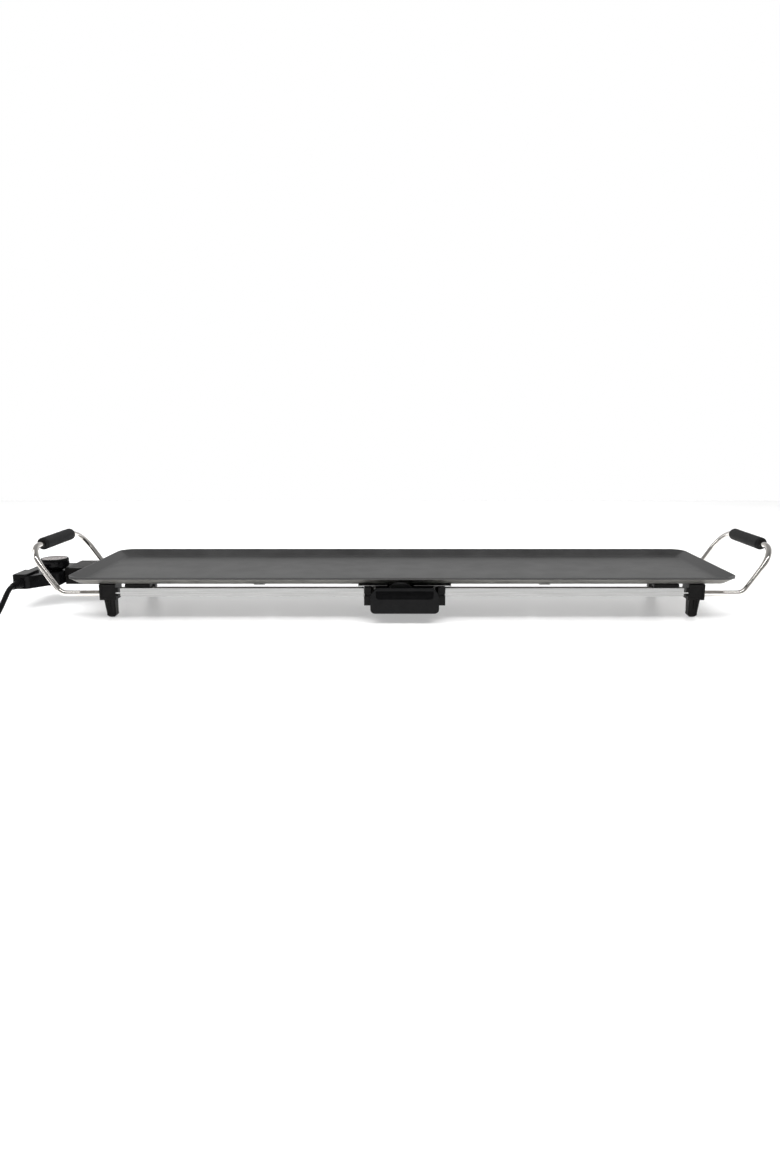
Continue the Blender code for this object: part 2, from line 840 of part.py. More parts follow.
def tray_runner(name, side):
    """A channel whose lips hold the tray's edge, with a cap below them at its front end.

    It hangs from the holder plate by a post and an ear.
    """
    outer = RUNNER_HALF
    web = RUNNER_HALF - 0.002
    lip = 0.043
    outline = [
        (TRAY_X + side * across, up)
        for across, up in (
            (outer, RUNNER_BOTTOM),
            (outer, RUNNER_TOP),
            (lip, RUNNER_TOP),
            (lip, TRAY_TOP + GAP),
            (web, TRAY_TOP + GAP),
            (web, TRAY_TOP - 0.0023),
            (lip, TRAY_TOP - 0.0023),
            (lip, TRAY_TOP - 0.0043),
            (web, TRAY_TOP - 0.0043),
            (web, RUNNER_BOTTOM),
        )
    ]
    runner = extruded(name, outline, RUNNER_FRONT, RUNNER_BACK, "Y", BLACK_PLASTIC)
    post = box(
        "runner_post",
        (TRAY_X + side * 0.0448, RUNNER_FRONT + 0.0004, RUNNER_TOP - 0.001),
        (TRAY_X + side * (outer - 0.0002), HOLDER_BACK - 0.002, RUNNER_POST_TOP),
    )
    ear = box(
        "runner_ear",
        (TRAY_X + side * (outer - 0.002), HOLDER_SCREW_Y - 0.006, RUNNER_POST_TOP - 0.002),
        (TRAY_X + side * 0.0625, HOLDER_SCREW_Y + 0.006, RUNNER_POST_TOP - 0.0001),
    )
    cap = box(
        "runner_cap",
        (TRAY_X + side * lip, RUNNER_FRONT, RUNNER_BOTTOM),
        (TRAY_X + side * (web + 0.0005), RUNNER_FRONT + 0.004, TRAY_TOP - 0.0040),
    )
    join(runner, post, ear, cap)
    x = TRAY_X + side * HOLDER_SCREW_X
    cut(runner, screw_hole("ear_hole", x, HOLDER_SCREW_Y, 0.042, 0.047))
    screw_name = name.replace("tray_runner", "holder_screw")
    screw(screw_name, (x, HOLDER_SCREW_Y), 0.0430, 0.0494, *SMALL_SCREW)
    return runner


def drip_tray():
    """An open box that hangs by its two side lips, with a taller front panel."""
    tray = box(
        "drip_tray",
        (TRAY_X - TRAY_HALF, PANEL_FRONT + PANEL_SHEET - 0.002, TRAY_BOTTOM),
        (TRAY_X + TRAY_HALF, TRAY_BACK, TRAY_TOP),
        BLACK_PLASTIC,
        TRAY,
    )
    panel_back = PANEL_FRONT + PANEL_SHEET
    panel = extruded("tray_panel", panel_outline(), PANEL_FRONT, panel_back, "Y", None, TRAY)
    add_bevel(panel, 0.0016)
    lips = [
        box(
            "tray_lip",
            (TRAY_X + side * (TRAY_HALF - 0.001), panel_back + 0.014, TRAY_TOP - 0.002),
            (TRAY_X + side * TRAY_LIP, TRAY_BACK - 0.0002, TRAY_TOP - 0.00005),
            None,
            TRAY,
        )
        for side in (-1, 1)
    ]
    join(tray, panel, *lips)
    well = box(
        "tray_well",
        (TRAY_X - TRAY_HALF + TRAY_WALL, panel_back + 0.0005, TRAY_BOTTOM + TRAY_WALL),
        (TRAY_X + TRAY_HALF - TRAY_WALL, TRAY_BACK - TRAY_WALL, TRAY_TOP + 0.002),
        None,
        TRAY,
    )
    return cut(tray, well)


def panel_outline():
    """The front panel seen from the front: cut upper corners and rounded lower ones."""
    left = TRAY_X - PANEL_HALF
    right = TRAY_X + PANEL_HALF
    cut_in = 0.0075
    cut_down = 0.0095
    return rounded(
        (
            (left, PANEL_BOTTOM, 0.006),
            (right, PANEL_BOTTOM, 0.006),
            (right, PANEL_TOP - cut_down, 0.003),
            (right - cut_in, PANEL_TOP, 0.002),
            (left + cut_in, PANEL_TOP, 0.002),
            (left, PANEL_TOP - cut_down, 0.003),
        )
    )


# ---------------------------------------------------------------- socket guard


def socket_guard():
    """A stepped box, open to the left, that shields the pins; two ears screw it to the pan."""
    guard = box(
        "socket_guard",
        (GUARD_LEFT, GUARD_FRONT, GUARD_BOTTOM),
        (GUARD_RIGHT, GUARD_BACK, UNDER_PAN),
        BLACK_PHENOLIC,
    )
    step = box(
        "guard_step",
        (GUARD_LEFT, GUARD_FRONT, UNDER_PAN - 0.004),
        (GUARD_STEP, GUARD_BACK, GUARD_TOP),
    )
    ears = [
        box(
            "guard_ear",
            (GUARD_RIGHT - 0.001, y - 0.0045, UNDER_PAN - 0.002),
            (GUARD_RIGHT + 0.010, y + 0.0045, UNDER_PAN - 0.0001),
        )
        for y in GUARD_SCREW_YS
    ]
    join(guard, step, *ears)
    inner_front = GUARD_FRONT + GUARD_WALL
    inner_back = GUARD_BACK - GUARD_WALL
    low_well = box(
        "guard_low_well",
        (GUARD_LEFT - 0.002, inner_front, GUARD_BOTTOM + GUARD_WALL),
        (GUARD_RIGHT - GUARD_WALL, inner_back, UNDER_PAN - GUARD_WALL),
    )
    high_well = box(
        "guard_high_well",
        (GUARD_LEFT - 0.003, inner_front, GUARD_BOTTOM + 0.010),
        (GUARD_STEP - GUARD_WALL, inner_back, GUARD_TOP - GUARD_WALL),
    )
    start = GUARD_RIGHT - 0.004
    end = GUARD_RIGHT + 0.002
    passages = [
        cylinder("guard_passage", (start, y, PIN_Z), (end, y, PIN_Z), radius)
        for y, radius in (
            (PROBE_Y - PIN_PITCH / 2, ELEMENT_RADIUS + 0.0005),
            (PROBE_Y, PROBE_RADIUS + 0.0005),
            (PROBE_Y + PIN_PITCH / 2, ELEMENT_RADIUS + 0.0005),
        )
    ]
    holes = [screw_hole("guard_hole", GUARD_SCREW_X, y, 0.044, 0.049) for y in GUARD_SCREW_YS]
    cut(guard, low_well, high_well, *passages, *holes)
    for number, y in enumerate(GUARD_SCREW_YS, start=1):
        screw(f"guard_screw_{number}", (GUARD_SCREW_X, y), 0.0454, 0.0494, *SMALL_SCREW)
    return guard


# ---------------------------------------------------------------- thermostat


def case_outline(inset=0.0):
    """The casing's L-shaped outline from above, drawn in by a wall's thickness."""
    radius = max(0.0005, 0.004 - inset)
    slope = inset * 0.5
    return rounded(
        (
            (CASE_LEFT + inset, ARM_FRONT + inset, radius),
            (ARM_RIGHT - inset, ARM_FRONT + inset, radius),
            (-0.510 - slope, CASE_FRONT + inset, 0.0005),
            (CASE_RIGHT - inset, CASE_FRONT + inset, radius),
            (CASE_RIGHT - inset, CASE_BACK - inset, radius),
            (CASE_LEFT + inset, CASE_BACK - inset, radius),
        ),
        steps=3,
    )


def case_prism(name, inset, low, high, material=None):
    return extruded(name, case_outline(inset), low, high, "Z", material, CONTROLLER)


def chamfer_level(piece, height, width):
    """Chamfers the edges that lie at one height of a piece extruded along Z."""
    shape = bmesh.new()
    shape.from_mesh(piece.data)
    edges = [
        edge
        for edge in shape.edges
        if all(abs(vert.co.z - height) < 0.00001 for vert in edge.verts)
        and edge.calc_face_angle(0.0) > 0.5
    ]
    bmesh.ops.bevel(shape, geom=edges, offset=width, segments=2, profile=0.6, affect="EDGES")
    shape.to_mesh(piece.data)
    shape.free()


def case_uprights(name, places, low, high, radius):
    """Posts, or the cutters for their holes, at the casing's screws."""
    return [
        cylinder(name, (x, y, low), (x, y, high), radius, None, CONTROLLER, sides=12)
        for x, y in places
    ]


def nose_passages():
    """Holes in the nose's end for the pins and the probe, and in the arm's end for the boot."""
    holes = [
        cylinder(
            "nose_passage",
            (NOSE_END - 0.004, y, PIN_Z),
            (NOSE_END + 0.002, y, PIN_Z),
            radius,
            None,
            CONTROLLER,
        )
        for y, radius in (
            (PROBE_Y - PIN_PITCH / 2, ELEMENT_RADIUS + 0.0006),
            (PROBE_Y, PROBE_RADIUS + GAP),
            (PROBE_Y + PIN_PITCH / 2, ELEMENT_RADIUS + 0.0006),
        )
    ]
    holes.append(
        cylinder(
            "boot_passage",
            (CORD_X, ARM_FRONT - 0.002, CORD_Z),
            (CORD_X, ARM_FRONT + CASE_WALL + 0.001, CORD_Z),
            0.0053,
            None,
            CONTROLLER,
        )
    )
    return holes


def controller_lower():
    low = case_prism("controller_lower", 0.0, CASE_BOTTOM, CASE_SPLIT, BLACK_PLASTIC)
    chamfer_level(low, -(CASE_SPLIT - CASE_BOTTOM) / 2, 0.002)
    well_bottom = CASE_BOTTOM + CASE_WALL
    nose = box(
        "low_nose",
        (CASE_RIGHT - 0.002, NOSE_FRONT, NOSE_BOTTOM),
        (NOSE_END, NOSE_BACK, CASE_SPLIT),
        None,
        CONTROLLER,
    )
    join(low, nose)
    well = case_prism("low_well", CASE_WALL, well_bottom, CASE_SPLIT + 0.001)
    nose_well = box(
        "low_nose_well",
        (CASE_RIGHT - 0.004, NOSE_FRONT + CASE_WALL, NOSE_BOTTOM + CASE_WALL),
        (NOSE_END - CASE_WALL, NOSE_BACK - CASE_WALL, CASE_SPLIT + 0.002),
        None,
        CONTROLLER,
    )
    cut(low, well, nose_well)
    screws = (*CASE_SCREWS, ARM_SCREW)
    join(low, *case_uprights("low_post", screws, CASE_BOTTOM + 0.001, CASE_SPLIT - 0.0002, 0.0045))
    cut(low, *case_uprights("head_recess", screws, CASE_BOTTOM - 0.001, 0.0360, 0.0034))
    cut(low, *case_uprights("low_hole", screws, 0.035, 0.041, 0.0018))
    return cut(low, *nose_passages())


def controller_upper():
    bottom = CASE_SPLIT + GAP
    high = case_prism("controller_upper", 0.0, bottom, CASE_TOP, BLACK_PLASTIC)
    chamfer_level(high, (CASE_TOP - bottom) / 2, 0.0035)
    arm_outline = rounded(
        (
            (CASE_LEFT, ARM_FRONT, 0.004),
            (ARM_RIGHT, ARM_FRONT, 0.004),
            (ARM_RIGHT, -0.010, 0.001),
            (CASE_LEFT, -0.010, 0.001),
        ),
        steps=3,
    )
    arm = extruded("high_arm", arm_outline, bottom + 0.0001, ARM_TOP, "Z", None, CONTROLLER)
    chamfer_level(arm, (ARM_TOP - bottom - 0.0001) / 2, 0.0022)
    nose = box(
        "high_nose",
        (CASE_RIGHT - 0.002, NOSE_FRONT, bottom),
        (NOSE_END, NOSE_BACK, NOSE_TOP),
        None,
        CONTROLLER,
    )
    collar = cylinder(
        "knob_collar",
        (KNOB_X, KNOB_Y, CASE_TOP - 0.001),
        (KNOB_X, KNOB_Y, KNOB_BOTTOM - 0.0005),
        0.010,
        None,
        CONTROLLER,
    )
    join(high, arm, nose, collar)
    well = case_prism("high_well", CASE_WALL, bottom - 0.001, CASE_TOP - CASE_WALL)
    arm_well = box(
        "arm_well",
        (CASE_LEFT + CASE_WALL, ARM_FRONT + CASE_WALL, bottom - 0.002),
        (ARM_RIGHT - CASE_WALL - 0.0005, -0.010 - CASE_WALL, ARM_TOP - CASE_WALL),
        None,
        CONTROLLER,
    )
    nose_well = box(
        "high_nose_well",
        (CASE_RIGHT - 0.004, NOSE_FRONT + CASE_WALL, bottom - 0.003),
        (NOSE_END - CASE_WALL, NOSE_BACK - CASE_WALL, NOSE_TOP - CASE_WALL),
        None,
        CONTROLLER,
    )
    cut(high, well, arm_well, nose_well)
    post_bottom = bottom + 0.0003
    join(high, *case_uprights("high_post", CASE_SCREWS, post_bottom, CASE_TOP - 0.001, 0.0040))
    join(high, *case_uprights("arm_post", (ARM_SCREW,), post_bottom, ARM_TOP - 0.001, 0.0040))
    spindle_hole = cylinder(
        "spindle_hole",
        (KNOB_X, KNOB_Y, CASE_TOP - 0.004),
        (KNOB_X, KNOB_Y, KNOB_BOTTOM + 0.001),
        SPINDLE_RADIUS + 0.0004,
        None,
        CONTROLLER,
    )
    lens_hole = cylinder(
        "lens_hole",
        (LENS_X, LENS_Y, CASE_TOP - 0.004),
        (LENS_X, LENS_Y, CASE_TOP + 0.001),
        0.0038,
        None,
        CONTROLLER,
    )
    screw_holes = case_uprights("high_hole", (*CASE_SCREWS, ARM_SCREW), 0.039, 0.0452, 0.0018)
    cut(high, *screw_holes, spindle_hole, lens_hole)
    return cut(high, *nose_passages())


def thermostat():
    """What the casing holds: switch, sleeves, probe, lamp, terminals and screws."""
    inner_floor = CASE_BOTTOM + CASE_WALL + GAP
    for name, low, high, material, bevel in (
        ("thermostat_base", (-0.524, -0.013, inner_floor), (-0.4985, 0.013, 0.0365), CERAMIC, 0.0006),
        ("fixed_blade", (-0.520, -0.009, 0.0369), (-0.502, 0.009, 0.0374), BRASS, 0.0),
        ("moving_blade", (-0.522, -0.006, 0.0379), (-0.500, 0.006, 0.0384), BRASS, 0.0),
        ("terminal_block", (-0.547, -0.008, inner_floor), (-0.533, 0.020, 0.0430), CERAMIC, 0.0008),
        ("cord_clamp", (-0.5475, -0.040, inner_floor), (-0.5335, -0.034, 0.0350), STEEL, 0.0006),
    ):
        box(name, low, high, material, CONTROLLER, bevel, 1)
    lamp_low = (LENS_X, LENS_Y, 0.0340)
    lamp_high = (LENS_X, LENS_Y, 0.0430)
    cylinder("indicator_lamp", lamp_low, lamp_high, 0.0025, CERAMIC, CONTROLLER, 12)
    turned(
        "indicator_lens",
        ((0, 0.0058), (0.0024, 0.0056), (0.0034, 0.0048), (0.0034, 0.0), (0, 0.0)),
        (LENS_X, LENS_Y, 0.0436),
        LENS,
        CONTROLLER,
        steps=16,
    )
    along_x = Matrix.Rotation(math.radians(90), 3, "Y")
    sleeve_left = -0.487
    sleeve_right = NOSE_END - 0.0025
    sleeve_half = (sleeve_right - sleeve_left) / 2
    for name, y in (
        ("contact_sleeve_front", PROBE_Y - PIN_PITCH / 2),
        ("contact_sleeve_rear", PROBE_Y + PIN_PITCH / 2),
    ):
        turned(
            name,
            (
                (0.0037, sleeve_half),
                (0.0048, sleeve_half),
                (0.0048, -sleeve_half),
                (0.0037, -sleeve_half),
            ),
            ((sleeve_left + sleeve_right) / 2, y, PIN_Z),
            BRASS,
            CONTROLLER,
            steps=16,
            closed=True,
            rotation=along_x,
        )
    probe_length = PROBE_TIP + 0.4975
    turned(
        "probe_rod",
        (
            (0, probe_length),
            (PROBE_RADIUS * 0.6, probe_length - 0.0004),
            (PROBE_RADIUS, probe_length - 0.0018),
            (PROBE_RADIUS, 0),
            (0, 0),
        ),
        (-0.4975, PROBE_Y, PIN_Z),
        STEEL,
        CONTROLLER,
        steps=16,
        rotation=along_x,
    )
    for number, at in enumerate((*CASE_SCREWS, ARM_SCREW), start=1):
        screw(f"casing_screw_{number}", at, 0.0357, 0.0445, *SMALL_SCREW, CONTROLLER)


def knob_parts():
    """The knob, the disc in its top and the spindle, which all turn on one axis."""
    bore = SPINDLE_RADIUS + 0.0004
    recess = 0.0012
    skirt = 0.0140
    knob_profile = (
        (0.0, KNOB_TOP - recess),
        (0.0176, KNOB_TOP - recess),
        (0.0176, KNOB_TOP - 0.0003),
        (0.0180, KNOB_TOP),
        (0.0186, KNOB_TOP),
        (0.0195, KNOB_TOP - 0.0009),
        (KNOB_RADIUS, KNOB_BOTTOM + 0.0060),
        (KNOB_RADIUS - 0.0012, KNOB_BOTTOM + 0.0038),
        (skirt, KNOB_BOTTOM),
        (bore, KNOB_BOTTOM),
        (bore, KNOB_BOTTOM + 0.0104),
        (0.0, KNOB_BOTTOM + 0.0104),
    )
    disc_top = KNOB_TOP - 0.0003
    disc_bottom = KNOB_TOP - recess + GAP
    disc_radius = 0.0172
    disc_profile = (
        (0.0, disc_top),
        (disc_radius, disc_top),
        (disc_radius, disc_bottom),
        (0.0, disc_bottom),
    )
    axis = (KNOB_X, KNOB_Y, 0.0)
    turned("knob", knob_profile, axis, BLACK_PLASTIC, KNOB, steps=32)
    turned("knob_disc", disc_profile, axis, SILVER, KNOB, steps=32)
    cylinder(
        "spindle",
        (KNOB_X, KNOB_Y, 0.0390),
        (KNOB_X, KNOB_Y, KNOB_BOTTOM + 0.0100),
        SPINDLE_RADIUS,
        STEEL,
        KNOB,
        16,
    )


# ---------------------------------------------------------------- lead


def strain_relief():
    """The boot: a flange inside the arm's end wall, a neck through it and a tapered tail outside."""
    inner_face = -(CASE_WALL + GAP)
    profile = (
        (0.0, -inner_face + 0.003),
        (0.0061, -inner_face + 0.003),
        (0.0061, -inner_face),
        (0.0050, -inner_face),
        (0.0050, -GAP),
        (0.0066, -GAP),
        (0.0066, -0.0040),
        (CORD_RADIUS + 0.0010, -BOOT_LENGTH),
        (0.0, -BOOT_LENGTH),
    )
    upright_to_y = Matrix.Rotation(math.radians(-90), 3, "X")
    return turned(
        "strain_relief", profile, (CORD_X, ARM_FRONT, CORD_Z), PVC, CONTROLLER, 20, rotation=upright_to_y
    )


def cord_run():
    """The stretch from the boot down to the table and on to the coil."""
    start = ARM_FRONT - BOOT_LENGTH - GAP
    lying = CORD_RADIUS
    beside_coil = COIL_X + OUTER_TURN
    stations = (
        (CORD_X, start, CORD_Z),
        (CORD_X, start - 0.0060, CORD_Z - 0.0001),
        (CORD_X + 0.0018, -0.0920, 0.0343),
        (CORD_X + 0.0032, -0.1060, 0.0268),
        (CORD_X + 0.0038, -0.1200, 0.0184),
        (CORD_X + 0.0040, -0.1350, 0.0103),
        (CORD_X + 0.0040, -0.1500, 0.0053),
        (beside_coil, -0.1640, lying + 0.0002),
        (beside_coil, coil_side_y(), lying + 0.0001),
    )
    route = smooth_route(stations, 4 * CORD_RADIUS)
    return tube("cord_run", route, CORD_RADIUS, PVC, CONTROLLER)


def coil_side_y():
    """Where a cord that runs straight along Y beside the coil first meets its outer face."""
    across = OUTER_TURN - CORD_RADIUS
    return COIL_Y + math.sqrt(COIL_OUTER**2 - across**2) + 0.0006


def cord_coil():
    """The outer shape of the wound lead, flat on the table: three turns wide and two high."""
    edge = 0.0020
    profile = (
        (COIL_INNER + edge, COIL_HEIGHT),
        (COIL_OUTER - edge, COIL_HEIGHT),
        (COIL_OUTER, COIL_HEIGHT - edge),
        (COIL_OUTER, edge),
        (COIL_OUTER - edge, 0.0),
        (COIL_INNER + edge, 0.0),
        (COIL_INNER, edge),
        (COIL_INNER, COIL_HEIGHT - edge),
    )
    return turned("cord_coil", profile, (COIL_X, COIL_Y, 0.0), PVC, CONTROLLER, 32, closed=True)


def cord_tie():
    """A strap over the coil's front side."""
    strap = 0.0012
    clear = 0.0004
    near = COIL_Y - COIL_INNER + clear + 0.0006
    far = COIL_Y - COIL_OUTER - clear
    top = COIL_HEIGHT + clear
    outline = (
        (near, 0.0005),
        (near + strap, 0.0005),
        (near + strap, top + strap),
        (far - strap, top + strap),
        (far - strap, 0.0005),
        (far, 0.0005),
        (far, top),
        (near, top),
    )
    return extruded("cord_tie", outline, COIL_X - 0.005, COIL_X + 0.005, "X", FOAM, CONTROLLER)


def cord_tail():
    """The short stretch from the coil's upper turn to the plug, which sags between them."""
    beside_coil = COIL_X - OUTER_TURN
    stations = (
        (beside_coil, coil_side_y(), UPPER_TURN_Z - 0.0004),
        (beside_coil, -0.1650, UPPER_TURN_Z - 0.0007),
        (beside_coil - 0.0006, -0.1500, 0.0102),
        (beside_coil - 0.0018, -0.1360, 0.0134),
        (PLUG_X, PLUG_BOOT_Y - 0.0060, PLUG_Z - 0.0001),
        (PLUG_X, PLUG_BOOT_Y - GAP, PLUG_Z),
    )
    return tube("cord_tail", smooth_route(stations, 4 * CORD_RADIUS), CORD_RADIUS, PVC, CONTROLLER)


def plug():
    """A plain two-pin plug with a moulded boot, lying beside the coil with its pins to the back."""
    length = PLUG_FACE_Y - PLUG_BOOT_Y
    face_radius = 0.0185
    profile = (
        (0.0, length),
        (face_radius - 0.001, length),
        (face_radius, length - 0.001),
        (face_radius, length - 0.014),
        (0.0150, length - 0.020),
        (0.0125, length - 0.036),
        (0.0080, length - 0.042),
        (CORD_RADIUS + 0.0010, 0.0),
        (0.0, 0.0),
    )
    upright_to_y = Matrix.Rotation(math.radians(-90), 3, "X")
    body = turned(
        "plug_body", profile, (PLUG_X, PLUG_BOOT_Y, PLUG_Z), PVC, CONTROLLER, 24, rotation=upright_to_y
    )
    socket_depth = 0.006
    for number, side in enumerate((-1, 1), start=1):
        x = PLUG_X + side * PLUG_PIN_PITCH / 2
        socket = cylinder(
            "pin_socket",
            (x, PLUG_FACE_Y - socket_depth, PLUG_Z),
            (x, PLUG_FACE_Y + 0.002, PLUG_Z),
            0.0028,
            None,
            CONTROLLER,
            12,
        )
        cut(body, socket)
        cylinder(
            f"plug_pin_{number}",
            (x, PLUG_FACE_Y - socket_depth + GAP, PLUG_Z),
            (x, PLUG_FACE_Y + 0.019, PLUG_Z),
            0.0024,
            BRASS,
            CONTROLLER,
            12,
        )
    return body


# ---------------------------------------------------------------- the whole griddle


def main():
    griddle_plate()
    heating_element()
    element_bars()
    for row, row_name in ((-1, "front"), (1, "rear")):
        for side, side_name in ((-1, "left"), (1, "right")):
            leg(f"leg_{row_name}_{side_name}", side, row)
    rails()
    rail_spacers()
    handle("left", -1)
    handle("right", 1)
    tray_holder_plate()
    tray_runner("tray_runner_left", -1)
    tray_runner("tray_runner_right", 1)
    drip_tray()
    socket_guard()
    controller_lower()
    controller_upper()
    thermostat()
    knob_parts()
    strain_relief()
    cord_run()
    cord_coil()
    cord_tie()
    cord_tail()
    plug()


main()
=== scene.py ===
"""The finished look of an electric griddle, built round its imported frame. All lengths are in metres."""

import math

import bpy
from mathutils import Matrix, Vector


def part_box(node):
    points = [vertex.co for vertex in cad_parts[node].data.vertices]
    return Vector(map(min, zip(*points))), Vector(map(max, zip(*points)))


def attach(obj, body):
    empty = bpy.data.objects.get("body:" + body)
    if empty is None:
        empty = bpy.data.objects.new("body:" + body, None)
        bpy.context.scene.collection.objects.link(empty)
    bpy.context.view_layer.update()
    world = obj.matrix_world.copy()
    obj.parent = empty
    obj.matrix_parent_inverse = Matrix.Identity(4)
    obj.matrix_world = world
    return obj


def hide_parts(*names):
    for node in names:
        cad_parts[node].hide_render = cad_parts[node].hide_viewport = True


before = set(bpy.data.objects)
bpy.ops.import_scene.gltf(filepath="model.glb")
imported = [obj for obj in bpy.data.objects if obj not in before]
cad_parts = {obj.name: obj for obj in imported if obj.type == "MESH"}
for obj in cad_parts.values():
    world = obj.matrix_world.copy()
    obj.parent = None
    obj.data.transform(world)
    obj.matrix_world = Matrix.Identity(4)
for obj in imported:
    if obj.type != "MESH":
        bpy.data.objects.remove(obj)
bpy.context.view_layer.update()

# The pan's middle on the table: the zero of every place below that is given as a distance from it.
PLATE_LOW, PLATE_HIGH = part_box("griddle_plate")
MIDDLE = Vector(((PLATE_LOW.x + PLATE_HIGH.x) / 2, (PLATE_LOW.y + PLATE_HIGH.y) / 2, 0.0))
RIM_Z = PLATE_HIGH.z
FIT = 0.0003


def from_middle(x, y, z):
    return MIDDLE + Vector((x, y, z))


# ---- camera

CAMERA_DISTANCE = 1.1448
CAMERA_HEIGHT = 0.2734
CAMERA_TILT_DEGREES = 12.23
FOCAL_LENGTH_MM = 24.38
SENSOR_WIDTH_MM = 36.0


def place_camera():
    """A camera above the pan's rim, a little over a metre in front of its middle."""
    data = bpy.data.cameras.new("camera")
    data.lens = FOCAL_LENGTH_MM
    data.sensor_width = SENSOR_WIDTH_MM
    data.shift_x = -0.0103
    data.clip_start = 0.05
    camera = bpy.data.objects.new("camera", data)
    bpy.context.scene.collection.objects.link(camera)
    camera.location = from_middle(0.0, -CAMERA_DISTANCE, CAMERA_HEIGHT)
    camera.rotation_euler = (math.radians(90 - CAMERA_TILT_DEGREES), 0.0, 0.0)
    bpy.context.scene.camera = camera


place_camera()


# ---- materials


def linear(hex_colour):
    """An sRGB hex colour as a linear colour with full alpha."""
    shares = [int(hex_colour[start : start + 2], 16) / 255 for start in (1, 3, 5)]
    return (*[s / 12.92 if s <= 0.04045 else ((s + 0.055) / 1.055) ** 2.4 for s in shares], 1.0)


def per_metre(size_mm):
    """A texture scale that gives features of this size."""
    return 1000.0 / size_mm


def add(tree, kind, settings=None, links=None):
    """Adds a node, sets its properties and inputs, and links its inputs to other nodes' outputs."""
    node = tree.nodes.new(kind)
    for key, value in (settings or {}).items():
        if isinstance(key, int) or key in node.inputs:
            node.inputs[key].default_value = value
        else:
            setattr(node, key, value)
    for key, output in (links or {}).items():
        tree.links.new(output, node.inputs[key])
    return node


def start_material(name, roughness, metallic=0.0, **sockets):
    """A material with only its main shader; sockets are the shader's inputs with _ for spaces."""
    material = bpy.data.materials.new(name)
    material.use_nodes = True
    tree = material.node_tree
    shader = tree.nodes["Principled BSDF"]
    shader.inputs["Roughness"].default_value = roughness
    shader.inputs["Metallic"].default_value = metallic
    for key, value in sockets.items():
        shader.inputs[key.replace("_", " ")].default_value = value
    return material, tree, shader


def noise(tree, place, size_mm, detail=2.0, roughness=0.5):
    return add(
        tree, "ShaderNodeTexNoise",
        {"Scale": per_metre(size_mm), "Detail": detail, "Roughness": roughness}, {"Vector": place}
    ).outputs["Fac"]


def spread(tree, source, low, high, from_low=0.3, from_high=0.7):
    """Maps a grey pattern onto a range of values."""
    settings = {"From Min": from_low, "From Max": from_high, "To Min": low, "To Max": high}
    return add(tree, "ShaderNodeMapRange", settings, {"Value": source}).outputs["Result"]


def two_tone(tree, source, dark, light, low=0.3, high=0.7):
    """Two colours laid out by a grey pattern."""
    ramp = add(tree, "ShaderNodeValToRGB", None, {"Fac": source})
    ramp.color_ramp.elements[0].position = low
    ramp.color_ramp.elements[0].color = linear(dark)
    ramp.color_ramp.elements[1].position = high
    ramp.color_ramp.elements[1].color = linear(light)
    return ramp.outputs["Color"]


def raise_surface(tree, shader, height, depth_mm, strength=1.0, below=None):
    """Bumps the surface by a pattern that is this deep."""
    links = {"Height": height}
    if below is not None:
        links["Normal"] = below
    settings = {"Distance": depth_mm / 1000, "Strength": strength}
    bump = add(tree, "ShaderNodeBump", settings, links)
    tree.links.new(bump.outputs["Normal"], shader.inputs["Normal"])
    return bump.outputs["Normal"]


def object_place(tree, stretch=None, centre=None):
    """The point on the piece, stretched or centred for a pattern that needs it."""
    place = add(tree, "ShaderNodeTexCoord").outputs["Object"]
    if stretch is None and centre is None:
        return place
    settings = {"vector_type": "POINT", "Scale": stretch or (1.0, 1.0, 1.0)}
    if centre is not None:
        settings["Location"] = [-c * s for c, s in zip(centre, settings["Scale"])]
    return add(tree, "ShaderNodeMapping", settings, {"Vector": place}).outputs["Vector"]


def sprayed_ptfe():
    """Non-stick PTFE sprayed on cast aluminium: charcoal, satin, with a soft orange peel and flecks."""
    material, tree, shader = start_material("sprayed_ptfe_on_cast_aluminium", 0.36, IOR=1.7)
    place = object_place(tree)
    cloud = noise(tree, place, 38.0, detail=4.0)
    # the real flecks are near 0.3 mm; they are drawn at 1.6 mm so that they still show
    fleck = noise(tree, place, 1.6, detail=3.0, roughness=0.6)
    mixed = add(
        tree, "ShaderNodeMath", {"operation": "MULTIPLY_ADD", 1: 0.55}, {0: fleck, 2: cloud}
    ).outputs["Value"]
    colour = two_tone(tree, mixed, "#181818", "#262626", 0.55, 1.0)
    tree.links.new(colour, shader.inputs["Base Color"])
    tree.links.new(spread(tree, cloud, 0.32, 0.40), shader.inputs["Roughness"])
    raise_surface(tree, shader, fleck, 0.05, 0.35)
    return material


def clouded(
    name, roughness, metallic, cloud, colours=None, gloss=None, bump=None, stretch=None, **sockets
):
    """A material whose colour and gloss follow one noise pattern.

    cloud is the pattern's size in mm and its detail, colours its dark and light end, gloss its two
    ends of roughness. bump is a depth in mm and a strength, after a finer pattern's size and detail
    where the surface has one.
    """
    material, tree, shader = start_material(name, roughness, metallic, **sockets)
    place = object_place(tree, stretch)
    pattern = noise(tree, place, *cloud)
    if colours:
        tree.links.new(two_tone(tree, pattern, *colours), shader.inputs["Base Color"])
    if gloss:
        tree.links.new(spread(tree, pattern, *gloss), shader.inputs["Roughness"])
    if bump:
        *finer, depth_mm, strength = bump
        height = noise(tree, place, *finer) if finer else pattern
        raise_surface(tree, shader, height, depth_mm, strength)
    return material


def moulded_black(name, dark, light, smooth, rough, grain_mm, grain_depth_mm):
    """Black moulding compound: near black, with a spark-eroded grain that breaks up its shine."""
    return clouded(
        name, rough, 0.0, (9.0, 3.0), (dark, light), (smooth, rough),
        bump=(grain_mm, 3.0, 0.6, grain_depth_mm, 0.4), Specular_IOR_Level=0.11
    )


